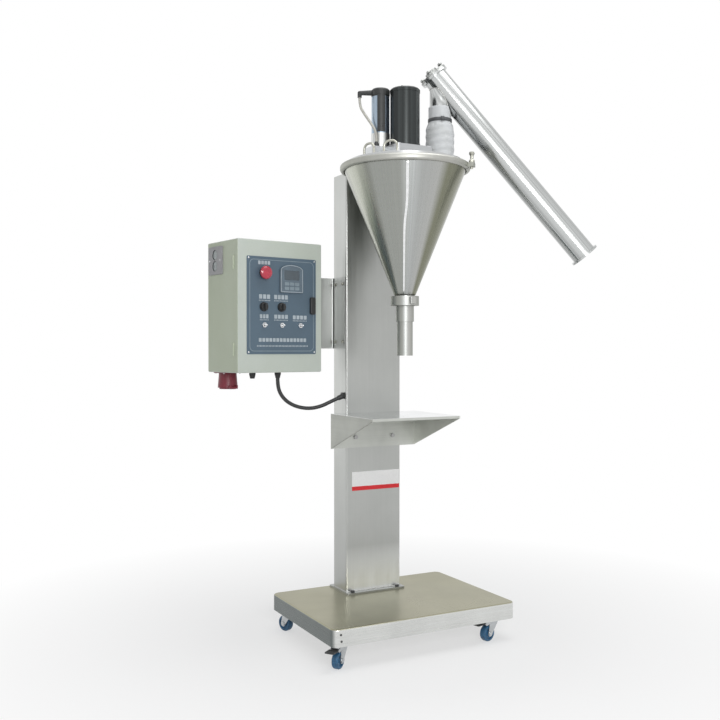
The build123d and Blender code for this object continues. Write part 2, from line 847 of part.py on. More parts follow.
# Fittings on the control box
def build_box_fittings():
    plate_face = RectangleRounded(outlet_size, outlet_size, panel_corner)
    plate = Plane.YZ * extrude(plate_face, -outlet_sheet)
    plate = fillet(plate.faces().sort_by(Axis.X)[0].edges(), outlet_sheet / 4)
    for offset in (-outlet_spacing / 2, outlet_spacing / 2):
        plate -= bar_along_x(outlet_face_radius, -outlet_sheet, -outlet_sheet + outlet_recess, 0, offset)
        for side in (-1, 1):
            slot_v = side * outlet_slot_spread / 2
            plate -= block(
                (-outlet_sheet, -outlet_slot_floor),
                (slot_v - outlet_slot_width / 2, slot_v + outlet_slot_width / 2),
                (offset - outlet_slot_length / 2, offset + outlet_slot_length / 2),
            )
    parts["outlet_plate"] = box_frame * Pos(0, outlet_v, outlet_w) * plate

    flange = RectangleRounded(socket_flange, socket_flange, base_edge_bend)
    body = Pos(0, 0, -socket_flange_sheet) * extrude(flange, socket_flange_sheet)
    throat = socket_radius * socket_taper
    barrel = Cone(socket_radius, throat, socket_drop)
    body += Pos(0, 0, -socket_flange_sheet - socket_drop / 2) * barrel
    mouth_bottom = -socket_flange_sheet - socket_drop
    body -= post(throat - socket_wall, mouth_bottom, -socket_flange_sheet)
    hinge_y = -socket_radius - 2 * socket_pin_radius - body_gap
    for side in (-1, 1):
        ends = sorted((side * flap_ear_inner, side * flap_ear_outer))
        ear_bottom = mouth_bottom - 1.5 * socket_pin_radius
        ear_top = mouth_bottom + 4 * socket_pin_radius
        body += block(ends, (hinge_y - 2 * socket_pin_radius, -throat), (ear_bottom, ear_top))
    body += bar_along_x(socket_pin_radius, -flap_ear_outer, flap_ear_outer, hinge_y, mouth_bottom)
    parts["red_socket"] = box_frame * Pos(socket_u, socket_v, 0) * body
    lid_top_z = mouth_bottom - body_gap
    knuckle = (-flap_knuckle, flap_knuckle)
    lid = post(flap_radius, lid_top_z - flap_sheet, lid_top_z)
    lid += block(knuckle, (hinge_y, 0), (lid_top_z - flap_sheet, lid_top_z - body_gap))
    lid += bar_along_x(2 * socket_pin_radius, *knuckle, hinge_y, mouth_bottom)
    lid -= bar_along_x(socket_pin_radius + running_clearance, *knuckle, hinge_y, mouth_bottom)
    parts["socket_flap"] = box_frame * Pos(socket_u, socket_v, 0) * lid

    glands = []
    neck_radius_in_hole = gland_neck_radius - running_clearance
    for u, v in gland_places:
        nut = extrude(RegularPolygon(gland_radius * 1.15, 6), -gland_drop * 0.4)
        dome = Pos(0, 0, -gland_drop * 0.7) * Cone(gland_radius * 0.7, gland_radius, gland_drop * 0.6)
        neck = post(neck_radius_in_hole, 0, gland_neck_length)
        glands.append(box_frame * Pos(u, v, 0) * (nut + dome + neck))
    end_x, end_y, end_z = control_cable_points[-1]
    wall = -column_width / 2
    nut = Plane.YZ * extrude(RegularPolygon(gland_radius * 1.15, 6), -gland_drop * 0.4)
    # The boot leans along the cable's last run, so that the two meet face to face
    lean = Vector(*control_cable_points[-1]) - Vector(*control_cable_points[-2])
    boot = Pos(0, 0, gland_drop) * Cylinder(gland_radius * 0.8, 2 * gland_drop)
    boot = Plane(origin=(end_x, end_y, end_z), z_dir=lean).location * boot
    reach = 2 * gland_drop
    boot &= block((end_x - reach, wall), (end_y - reach, end_y + reach), (end_z - reach, end_z + reach))
    through = boot.faces().sort_by(Axis.X)[-1].center()
    entry = boot + Pos(wall, through.Y, through.Z) * nut
    entry += bar_along_x(neck_radius_in_hole, wall, wall + gland_neck_length, through.Y, through.Z)
    glands.append(entry)
    parts["cable_glands"] = Compound(glands)

    plate_v = box_depth - box_sheet - plate_back_gap
    margin = 2 * box_lip
    carrier = block(
        (margin, box_width - margin),
        (plate_v - plate_sheet, plate_v),
        (margin, box_height - margin),
    )
    solids = [carrier]
    corner = margin + stand_off_inset
    for u in (corner, box_width - corner):
        for w in (corner, box_height - corner):
            solids.append(front_bar(stand_off_radius, plate_v, box_depth - box_sheet, u, w))
    front = plate_v - plate_sheet
    right_edge = box_width - module_margin

    def module(size, left_u, middle_w, depth_share):
        width, height = size
        depth = module_depth * depth_share
        return block((left_u, left_u + width), (front - depth, front),
                     (middle_w - height / 2, middle_w + height / 2))

    solids.append(module(drive_module, module_margin, upper_row_w, 1.0))
    solids.append(module(supply_module, right_edge - supply_module[0], upper_row_w, 0.8))
    solids.append(module(relay_module, module_margin, middle_row_w, 0.6))
    solids.append(module(transformer_module, right_edge - transformer_module[0], middle_row_w, 1.0))
    solids.append(module(terminal_strip, module_margin, terminal_row_w, 0.4))
    parts["control_modules"] = box_frame * Compound(solids)


# Bracket from the box's right side to the column's left face
def build_box_bracket():
    middle = bracket_sheet / 2
    column_side = -column_width / 2 - middle
    web_y = column_back - middle
    turn = radians(box_yaw)
    side_u = box_width + middle
    side_v = (web_y - box_corner_y - side_u * sin(turn)) / cos(turn)

    def on_box_side(v):
        x = box_corner_x + side_u * cos(turn) - v * sin(turn)
        y = box_corner_y + side_u * sin(turn) + v * cos(turn)
        return (x, y)

    path = FilletPolyline(
        (column_side, column_front + bracket_edge_inset),
        (column_side, web_y),
        on_box_side(side_v),
        on_box_side(side_v + bracket_box_flange),
        radius=bracket_bend,
    )
    profile = trace(path, line_width=bracket_sheet)
    parts["box_bracket"] = Pos(0, 0, bracket_bottom) * extrude(profile, bracket_height)


# Hopper, lid, clamp ring and nozzle
def cone_radius(z):
    """Outer radius of the cone at a height."""
    share = (z - cone_bottom) / (cone_top - cone_bottom)
    return cone_bottom_radius + share * (cone_top_radius - cone_bottom_radius)


def build_hopper():
    neck_inner = nozzle_bore
    neck_outer = neck_radius
    cone = turned(
        [
            (neck_inner, ferrule_face),
            (ferrule_radius, ferrule_face),
            (ferrule_radius, ferrule_face + ferrule_sheet),
            (neck_outer, ferrule_face + ferrule_sheet),
            (neck_outer, cone_bottom - cone_sheet),
            (cone_bottom_radius, cone_bottom),
            (cone_top_radius, cone_top),
            (rim_radius, cone_top),
            (rim_radius, rim_top),
            (cone_top_radius - cone_sheet, rim_top),
            (cone_bottom_radius - cone_sheet, cone_bottom),
            (neck_inner, cone_bottom - cone_sheet),
        ]
    )
    parts["hopper_cone"] = filling_axis * cone

    flange_top = rim_top + lid_flange_sheet
    bore = agitator_tube_radius + running_clearance
    lid = turned(
        [
            (bore, lid_top - 2 * lid_bush_height),
            (lid_bush_radius, lid_top - 2 * lid_bush_height),
            (lid_bush_radius, lid_top - lid_sheet),
            (lid_step_radius - lid_sheet, lid_top - lid_sheet),
            (lid_step_radius - lid_sheet, rim_top),
            (rim_radius, rim_top),
            (rim_radius, flange_top),
            (lid_step_radius, flange_top),
            (lid_step_radius, lid_top),
            (lid_bush_radius, lid_top),
            (lid_bush_radius, lid_top + lid_bush_height),
            (bore, lid_top + lid_bush_height),
        ]
    )
    stub = post(stub_radius, lid_top - lid_sheet, lid_top + stub_height, spout_x, 0)
    lid += stub
    lid -= post(stub_radius - stub_wall, lid_top - 2 * lid_sheet, lid_top + stub_height, spout_x, 0)
    parts["hopper_lid"] = filling_axis * lid

    groove = rim_radius + body_gap
    low = cone_top - body_gap
    high = flange_top + body_gap
    section = make_face(
        Polyline(
            (ring_lip_radius, low - ring_lip),
            (ring_radius, low - ring_lip),
            (ring_radius, high + ring_lip),
            (ring_lip_radius, high + ring_lip),
            (ring_lip_radius, high),
            (groove, high),
            (groove, low),
            (ring_lip_radius, low),
            close=True,
        )
    )
    section = fillet(section.vertices().sort_by(Axis.X)[-2:], ring_round)
    ring = revolve(Plane.XZ * section, axis=Axis.Z)
    lug_middle = (low + high) / 2
    lug_end = ring_radius + clamp_lug_length
    split = block(
        (ring_lip_radius - overcut, lug_end + overcut),
        (-ring_gap / 2, ring_gap / 2),
        (low - ring_lip - overcut, high + ring_lip + overcut),
    )
    lug = block(
        (ring_radius - ring_wall / 2, lug_end),
        (-clamp_lug_width / 2, clamp_lug_width / 2),
        (lug_middle - clamp_lug_height / 2, lug_middle + clamp_lug_height / 2),
    )
    turn = Rot(0, 0, clamp_angle)
    stem_x = ring_radius + clamp_lug_length / 2
    lug_hole = post(clamp_stem_radius + running_clearance, low - ring_lip, high + ring_lip, stem_x)
    ring = ring - split + lug - lug_hole
    parts["clamp_ring"] = filling_axis * turn * ring
    seat = lug_middle + clamp_lug_height / 2 + body_gap
    knob = turned(
        [
            (0, seat),
            (clamp_knob_radius, seat),
            (clamp_knob_radius, seat + clamp_knob_height * 0.16),
            (clamp_knob_radius * 0.55, seat + clamp_knob_height * 0.34),
            (clamp_knob_radius * 0.6, seat + clamp_knob_height * 0.6),
            (clamp_knob_radius * 0.95, seat + clamp_knob_height * 0.78),
            (clamp_knob_radius * 0.8, seat + clamp_knob_height * 0.94),
            (0, seat + clamp_knob_height),
        ]
    )
    knob += post(clamp_stem_radius, lug_middle - clamp_lug_height, seat)
    parts["clamp_knob"] = filling_axis * turn * Pos(stem_x, 0, 0) * knob

    handles = []
    for angle in handle_angles:
        rise = handle_height
        path = FilletPolyline(
            (0, -handle_span / 2, lid_top),
            (0, -handle_span / 2, lid_top + rise),
            (0, handle_span / 2, lid_top + rise),
            (0, handle_span / 2, lid_top),
            radius=handle_span * 0.42,
        )
        wire = sweep(Plane(origin=path @ 0, z_dir=path % 0) * Circle(handle_wire), path=path)
        handles.append(filling_axis * Rot(0, 0, angle) * Pos(handle_radius, 0, 0) * wire)
    parts["lid_handles"] = Compound(handles)

    plate_front = column_front - hopper_bracket_sheet
    bottom = hopper_bracket_top - hopper_bracket_height
    half = hopper_bracket_width / 2
    support = block((-half, half), (plate_front, column_front), (bottom, hopper_bracket_top))
    low, high = bottom - overcut, hopper_bracket_top + overcut
    envelope = filling_axis * turned(
        [
            (0, low),
            (cone_radius(low) + body_gap, low),
            (cone_radius(high) + body_gap, high),
            (0, high),
        ]
    )
    for x in (-hopper_web_x, hopper_web_x):
        web_half = hopper_bracket_sheet / 2
        web = block((x - web_half, x + web_half), (filling_y, plate_front), (bottom, hopper_bracket_top))
        web -= envelope
        support += web.solids().sort_by(Axis.Y)[-1]
    parts["hopper_bracket"] = support

    nozzle = turned(
        [
            (nozzle_bore, nozzle_bottom),
            (nozzle_radius, nozzle_bottom),
            (nozzle_radius, neck_bottom),
            (neck_radius, neck_bottom),
            (neck_radius, ferrule_face - ferrule_sheet),
            (ferrule_radius, ferrule_face - ferrule_sheet),
            (ferrule_radius, ferrule_face),
            (nozzle_bore, ferrule_face),
        ]
    )
    parts["nozzle_tube"] = filling_axis * nozzle
    low = ferrule_face - ferrule_sheet - body_gap
    high = ferrule_face + ferrule_sheet + body_gap
    groove = ferrule_radius + body_gap
    clamp = turned(
        [
            (tri_clamp_lip_radius, low - tri_clamp_lip),
            (tri_clamp_radius, low - tri_clamp_lip),
            (tri_clamp_radius, high + tri_clamp_lip),
            (tri_clamp_lip_radius, high + tri_clamp_lip),
            (tri_clamp_lip_radius, high),
            (groove, high),
            (groove, low),
            (tri_clamp_lip_radius, low),
        ]
    )
    ear_half = tri_clamp_ear / 2
    for side in (-1, 1):
        ends = sorted((side * (tri_clamp_radius - overcut), side * (tri_clamp_radius + ear_half)))
        ear = block(ends, (-ear_half, ear_half), (ferrule_face - ear_half, ferrule_face + ear_half))
        clamp += fillet(ear.edges().filter_by(Axis.Z), ear_half / 4)
    parts["nozzle_clamp"] = filling_axis * Rot(0, 0, 90) * clamp


# Gear with involute flanks
def spur_gear(teeth, bore):
    """Spur gear in the XY plane with a tooth centred on +X."""
    pitch_radius = gear_module * teeth / 2
    base_radius = pitch_radius * cos(radians(pressure_angle))
    tip_radius = pitch_radius + gear_module
    root_radius = pitch_radius - gear_root_depth
    half_pitch_angle = (pi * gear_module / 2 - gear_backlash) / (2 * pitch_radius)

    def involute(radius):
        roll = acos(min(1.0, base_radius / radius))
        return tan(roll) - roll

    start_radius = max(base_radius, root_radius)
    flank_radii = [start_radius, (start_radius + tip_radius) / 2, tip_radius]
    flank = []
    for radius in flank_radii:
        flank.append((radius, half_pitch_angle + involute(pitch_radius) - involute(radius)))
    corners = [(root_radius * 0.98, flank[0][1])] + flank
    outline = corners + [(radius, -angle) for radius, angle in reversed(corners)]
    tooth = make_face(Polyline(*[(r * cos(a), r * sin(a)) for r, a in outline], close=True))
    blank = Circle(root_radius)
    for place in PolarLocations(0, teeth):
        blank += place * tooth
    return extrude(blank - Circle(bore), gear_width)


# Drive case, motors, gears, auger and agitator
def build_drive():
    outline = RectangleRounded(case_size, case_size, case_corner)
    lobe_middle = ((lobe_left - case_size / 4) / 2, (lobe_front + lobe_back) / 2)
    lobe_size = (-case_size / 4 - lobe_left, lobe_back - lobe_front)
    inner = RectangleRounded(case_size - 2 * case_wall, case_size - 2 * case_wall, case_corner - case_wall)
    outer = outline + Pos(*lobe_middle) * RectangleRounded(*lobe_size, case_corner)
    inner += Pos(*lobe_middle) * RectangleRounded(
        lobe_size[0] - 2 * case_wall, lobe_size[1] - 2 * case_wall, case_corner - case_wall
    )
    case = Pos(0, 0, lid_top) * extrude(outer, case_top - lid_top)
    case -= Pos(0, 0, lid_top) * extrude(inner, case_top - lid_top - case_wall)
    shaft_gap = 2 * hole_clearance
    case -= post(auger_shaft_radius + shaft_gap, case_top - 2 * case_wall, case_top)
    case -= post(pinion_shaft_radius + shaft_gap, case_top - 2 * case_wall, case_top, pinion_x, pinion_y)
    parts["drive_case"] = filling_axis * case

    groove_low = case_top + 3 * motor_edge_round
    groove_high = auger_motor_top - 3 * motor_edge_round
    groove_radius = auger_motor_radius - motor_groove
    motor = turned(
        [
            (0, case_top),
            (auger_motor_radius, case_top),
            (auger_motor_radius, groove_low),
            (groove_radius, groove_low),
            (groove_radius, groove_high),
            (auger_motor_radius, groove_high),
            (auger_motor_radius, auger_motor_top - motor_edge_round),
            (auger_motor_radius - motor_edge_round, auger_motor_top),
            (0, auger_motor_top),
        ]
    )
    motor += post(motor_shaft_radius, case_top - motor_shaft_length, case_top)
    parts["auger_motor"] = filling_axis * motor

    gear_motor = turned(
        [
            (0, case_top),
            (gearhead_radius, case_top),
            (gearhead_radius, gearhead_top),
            (gear_motor_radius, gearhead_top),
            (gear_motor_radius, gear_motor_cap),
            (gearhead_radius, gear_motor_cap),
            (gearhead_radius, gear_motor_top - motor_edge_round),
            (gearhead_radius - motor_edge_round, gear_motor_top),
            (0, gear_motor_top),
        ]
    )
    shaft_bore = pinion_shaft_radius + running_clearance
    gear_motor -= post(shaft_bore, case_top, case_top + motor_shaft_length)
    root = gear_motor_radius / 2
    boot = Pos((root + boot_reach) / 2, 0, boot_height) * Rot(0, 90, 0) * Cone(
        boot_root_radius, boot_tip_radius, boot_reach - root
    )
    boot += Pos(boot_reach, 0, boot_height) * Sphere(boot_tip_radius)
    boot += post(boot_tip_radius, boot_height - boot_drop, boot_height, boot_reach)
    gear_motor += Rot(0, 0, boot_heading) * boot
    parts["agitator_motor"] = filling_axis * Pos(pinion_x, pinion_y, 0) * gear_motor

    gland = turned(
        [
            (0, case_top),
            (tail_gland_radius, case_top),
            (tail_gland_radius, case_top + tail_gland_height * 0.45),
            (tail_gland_radius * 0.6, case_top + tail_gland_height),
            (0, case_top + tail_gland_height),
        ]
    )
    parts["motor_cable_gland"] = filling_axis * Pos(tail_gland_x, tail_gland_y, 0) * gland

    # A tooth of the pinion faces a gap of the gear along the line of centres
    gear_turn = motor_angle + 180 / gear_teeth
    gear_z = Pos(0, 0, gear_bottom)
    gear = gear_z * Rot(0, 0, gear_turn) * spur_gear(gear_teeth, agitator_tube_radius + running_clearance)
    parts["agitator_gear"] = filling_axis * gear
    pinion = gear_z * Rot(0, 0, motor_angle + 180) * spur_gear(pinion_teeth, pinion_shaft_radius / 2)
    pinion += post(pinion_shaft_radius, gear_bottom, case_top + motor_shaft_length - body_gap)
    parts["pinion"] = filling_axis * Pos(pinion_x, pinion_y, 0) * pinion

    shaft_top = case_top - body_gap
    flight_bottom = nozzle_bottom + auger_tip_gap + auger_flight
    screw = flight(auger_shaft_radius - overcut, auger_radius, auger_flight, auger_pitch, auger_turns)
    auger = post(auger_shaft_radius, nozzle_bottom + auger_tip_gap, shaft_top)
    bore_bottom = case_top - motor_shaft_length - body_gap
    auger -= post(motor_shaft_radius + running_clearance, bore_bottom, shaft_top)
    auger += Pos(0, 0, flight_bottom) * screw
    parts["auger"] = filling_axis * auger

    def frame_edge(z, inset):
        return (cone_radius(z) - cone_sheet - agitator_wall_gap - inset, z)

    top_low = agitator_top - agitator_bar
    foot_high = agitator_foot + agitator_bar
    inside = agitator_tube_radius - 2 * overcut
    paddle = make_face(
        Polyline(
            (inside, agitator_foot),
            frame_edge(agitator_foot, 0),
            frame_edge(agitator_top, 0),
            (inside, agitator_top),
            close=True,
        )
    )
    paddle -= make_face(
        Polyline(
            (inside - overcut, foot_high),
            frame_edge(foot_high, agitator_bar),
            frame_edge(top_low, agitator_bar),
            (inside - overcut, top_low),
            close=True,
        )
    )
    blade = Plane.XZ * extrude(paddle, agitator_bar_sheet / 2, both=True)
    tube = post(agitator_tube_radius, agitator_bottom, gear_top + body_gap)
    agitator = tube + blade + Rot(0, 0, 180) * blade
    agitator -= post(auger_shaft_radius + running_clearance, agitator_bottom, gear_top + body_gap)
    parts["agitator"] = filling_axis * agitator


# Feed tube with its spout, end cover and screw
def build_feeder():
    def along(shape):
        return feeder_plane.location * shape

    spout_top = feeder_height
    tube = along(post(feeder_radius, -feeder_head, feeder_length))
    tube += along(post(feeder_flange_radius, -feeder_head - feeder_flange, -feeder_head))
    tube += along(post(feeder_flange_radius, feeder_length - feeder_flange, feeder_length))
    tube += post(spout_radius, spout_bottom, spout_top, spout_x, filling_y)
    tube -= along(post(feeder_radius - feeder_wall, -feeder_head - feeder_flange, feeder_length))
    tube -= post(spout_radius - spout_wall, spout_bottom, spout_top, spout_x, filling_y)
    parts["feeder_tube"] = tube

    cover_face = -feeder_head - feeder_flange
    cover = post(feeder_flange_radius, cover_face - feeder_flange, cover_face)
    bearing_end = cover_face - feeder_flange - feeder_bearing_length
    cover += post(feeder_bearing_radius, bearing_end, cover_face - feeder_flange)
    cover -= post(screw_journal_radius + running_clearance, bearing_end + feeder_flange / 2, cover_face)
    solids = [cover]
    knob_seat = cover_face - feeder_flange
    for place in PolarLocations(feeder_knob_circle, 4, start_angle=45):
        knob = turned(
            [
                (0, knob_seat - feeder_knob_height),
                (feeder_knob_radius * 0.7, knob_seat - feeder_knob_height),
                (feeder_knob_radius, knob_seat - feeder_knob_height * 0.6),
                (feeder_knob_radius * 0.5, knob_seat - feeder_knob_height * 0.3),
                (feeder_knob_radius * 0.5, knob_seat),
                (0, knob_seat),
            ]
        )
        solids.append(place * knob)
    parts["feeder_cover"] = along(Compound(solids))

    shaft_start = cover_face + body_gap
    shaft_end = feeder_length - feeder_flange
    turns = (shaft_end - shaft_start - 2 * screw_end_gap) / screw_pitch
    screw = post(screw_shaft_radius, shaft_start, shaft_end)
    screw += post(screw_journal_radius, bearing_end + feeder_flange / 2 + body_gap, shaft_start)
    blade = flight(screw_shaft_radius - overcut, screw_radius, screw_flight, screw_pitch, turns)
    screw += Pos(0, 0, shaft_start + screw_end_gap) * blade
    parts["feeder_screw"] = along(screw)


# Canvas sleeve between the spout and the lid, with its ties
def build_sleeve():
    foot = lid_top + body_gap
    inner_cuff = spout_radius + body_gap
    inner_foot = stub_radius + body_gap
    body_low = lid_top + stub_height + 2 * band_width
    body_high = sleeve_tie - 2 * band_width
    foot_high = lid_top + stub_height
    inner_body = sleeve_body_radius - sleeve_wall
    sleeve = turned(
        [
            (inner_foot, foot),
            (sleeve_foot_radius, foot),
            (sleeve_foot_radius, foot_high),
            (sleeve_body_radius, body_low),
            (sleeve_body_radius, body_high),
            (sleeve_cuff_radius, sleeve_tie - band_width / 2),
            (sleeve_cuff_radius, sleeve_top),
            (inner_cuff, sleeve_top),
            (inner_cuff, sleeve_tie - band_width / 2),
            (inner_body, body_high),
            (inner_body, body_low),
            (inner_foot, foot_high),
        ]
    )
    spot = Pos(spout_x, filling_y, 0)
    passing = feeder_plane.location * post(feeder_radius + body_gap, 0, feeder_length)
    parts["sleeve"] = spot * sleeve - passing

    def band(inner, middle):
        low, high = middle - band_width / 2, middle + band_width / 2
        return post(inner + band_sheet, low, high) - post(inner, low, high)

    upper = band(sleeve_cuff_radius, sleeve_tie)
    lower = band(sleeve_foot_radius, foot + band_width)
    parts["sleeve_bands"] = spot * Compound([upper, lower])


# Cables as round tubes with tangent arcs
def cable(points, diameter):
    """Round cable through a route, with the largest arcs that its runs allow."""
    corners = [Vector(*point) for point in points]
    radii = []
    for before, corner, after in zip(corners, corners[1:], corners[2:]):
        turn = radians((corner - before).get_angle(after - corner))
        shorter = min((corner - before).length, (after - corner).length)
        radii.append(0.45 * shorter / tan(turn / 2))
    path = FilletPolyline(*corners, radius=radii)
    return sweep(Plane(origin=path @ 0, z_dir=path % 0) * Circle(diameter / 2), path=path)


def build_cables():
    parts["control_cable"] = cable(control_cable_points, control_cable_diameter)
    parts["motor_cable"] = cable(motor_cable_points, motor_cable_diameter)


build_base()
build_casters()
build_column()
build_shelf()
build_box()
build_controls()
build_box_fittings()
build_box_bracket()
build_hopper()
build_drive()
build_feeder()
build_sleeve()
build_cables()

os.makedirs("parts", exist_ok=True)
for name, shape in parts.items():
    export_step(shape, f"parts/{name}.step")
print(len(parts), "nodes")
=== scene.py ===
"""Looks of an auger powder filler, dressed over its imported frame.

Metres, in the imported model's own frame: the origin is on the floor midway between the casters, +X runs
right along the column's wide face, -Y faces the operator and +Z is up.
"""
import math

import bmesh
import bpy
import numpy as np
from mathutils import Matrix, Vector


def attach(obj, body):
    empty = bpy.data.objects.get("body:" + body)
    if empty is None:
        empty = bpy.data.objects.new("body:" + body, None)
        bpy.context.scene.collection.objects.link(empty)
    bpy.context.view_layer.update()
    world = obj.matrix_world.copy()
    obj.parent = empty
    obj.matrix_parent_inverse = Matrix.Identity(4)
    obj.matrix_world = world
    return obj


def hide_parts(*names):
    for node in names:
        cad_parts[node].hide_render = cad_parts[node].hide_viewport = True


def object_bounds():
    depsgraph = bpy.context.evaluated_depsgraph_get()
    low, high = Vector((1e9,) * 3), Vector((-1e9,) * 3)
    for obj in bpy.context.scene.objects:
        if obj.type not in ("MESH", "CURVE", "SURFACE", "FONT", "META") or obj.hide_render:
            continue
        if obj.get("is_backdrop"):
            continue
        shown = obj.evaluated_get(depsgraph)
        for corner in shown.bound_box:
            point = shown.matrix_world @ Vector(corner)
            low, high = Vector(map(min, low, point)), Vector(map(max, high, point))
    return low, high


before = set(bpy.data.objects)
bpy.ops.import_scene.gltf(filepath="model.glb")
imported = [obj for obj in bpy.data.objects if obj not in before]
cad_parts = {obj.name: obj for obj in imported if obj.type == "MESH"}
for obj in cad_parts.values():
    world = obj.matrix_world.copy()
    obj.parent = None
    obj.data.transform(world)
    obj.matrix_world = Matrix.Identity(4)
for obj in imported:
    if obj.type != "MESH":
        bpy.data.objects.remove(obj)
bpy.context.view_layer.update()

# Places and sizes that the model's source sets, in metres
FILLING_AXIS = Vector((0.0, -0.095, 0.0))
SPOUT_AXIS = Vector((0.126, -0.095, 0.0))
BOX_PLACE = Matrix.Translation((-0.487, 0.0508, 0.8345)) @ Matrix.Rotation(math.radians(9.1), 4, "Z")
PANEL_FACE = -0.0015
PANEL_MIDDLE = (0.154, 0.203)
COLUMN_SIDE, COLUMN_FRONT = -0.1, 0.105
TRAY_SIDE, TRAY_FRONT, TRAY_TOP = -0.308, -0.225, 0.12
OUTLET_MIDDLE = Vector((0.0, 0.132, 0.342))
LID_TOP = 1.475
CASE_TOP = 1.518
FEEDER_PITCH = math.radians(49.8)
FEEDER_HEADING = math.radians(-27.8)
FEEDER_START = Vector((0.126, -0.095, 1.734))
FEEDER_WAY = Vector((
    math.cos(FEEDER_PITCH) * math.cos(FEEDER_HEADING),
    math.cos(FEEDER_PITCH) * math.sin(FEEDER_HEADING),
    -math.sin(FEEDER_PITCH),
))
FEEDER_RADIUS = 0.038
SPOUT_RADIUS = 0.0318
GEAR_MOTOR_AXIS = Vector((-0.0624, -0.0534, 0.0))
GEAR_MOTOR_RADIUS = 0.0275
STUB_TOP = 1.501
SPOUT_BOTTOM = 1.590
SLEEVE_TOP = 1.657
SLEEVE_TIE = 1.616
SLEEVE_FOOT = 1.4755
CASTERS = [(x, y) for y in (-0.182, 0.182) for x in (-0.262, 0.262)]
SHELF_TOP = 0.701
SHELF_INSIDE = 0.152
AUGER_MOTOR_TOP = 1.698
GEARHEAD_TOP = 1.563
CONTROL_CABLE_DIAMETER = 0.012
MOTOR_CABLE_DIAMETER = 0.008

# Places and sizes of what is made here, in metres
SLEEVE_CUT = (0.275, 0.19)
STRAP_WIDTH = 0.011
LABEL_FOOT, LABEL_BAND, LABEL_TOP = 0.449, 0.4625, 0.510
BLACK_CAP_FROM = 1.6755
SEAM_NECK = (0.0332, 1.0715)
SEAM_RIM = (0.186, 1.4435)
PRINT_HEIGHT = 0.0003

# Least and greatest radius of the cloth's middle on the spout, on the lid's stub and between them
CLOTH_AT_SPOUT = (0.0335, 0.0352)
CLOTH_AT_STUB = (0.0375, 0.0402)
CLOTH_BETWEEN = (0.034, 0.0455)


# Node materials
def shade(colour, factor):
    return tuple(min(1.0, channel * factor) for channel in colour)


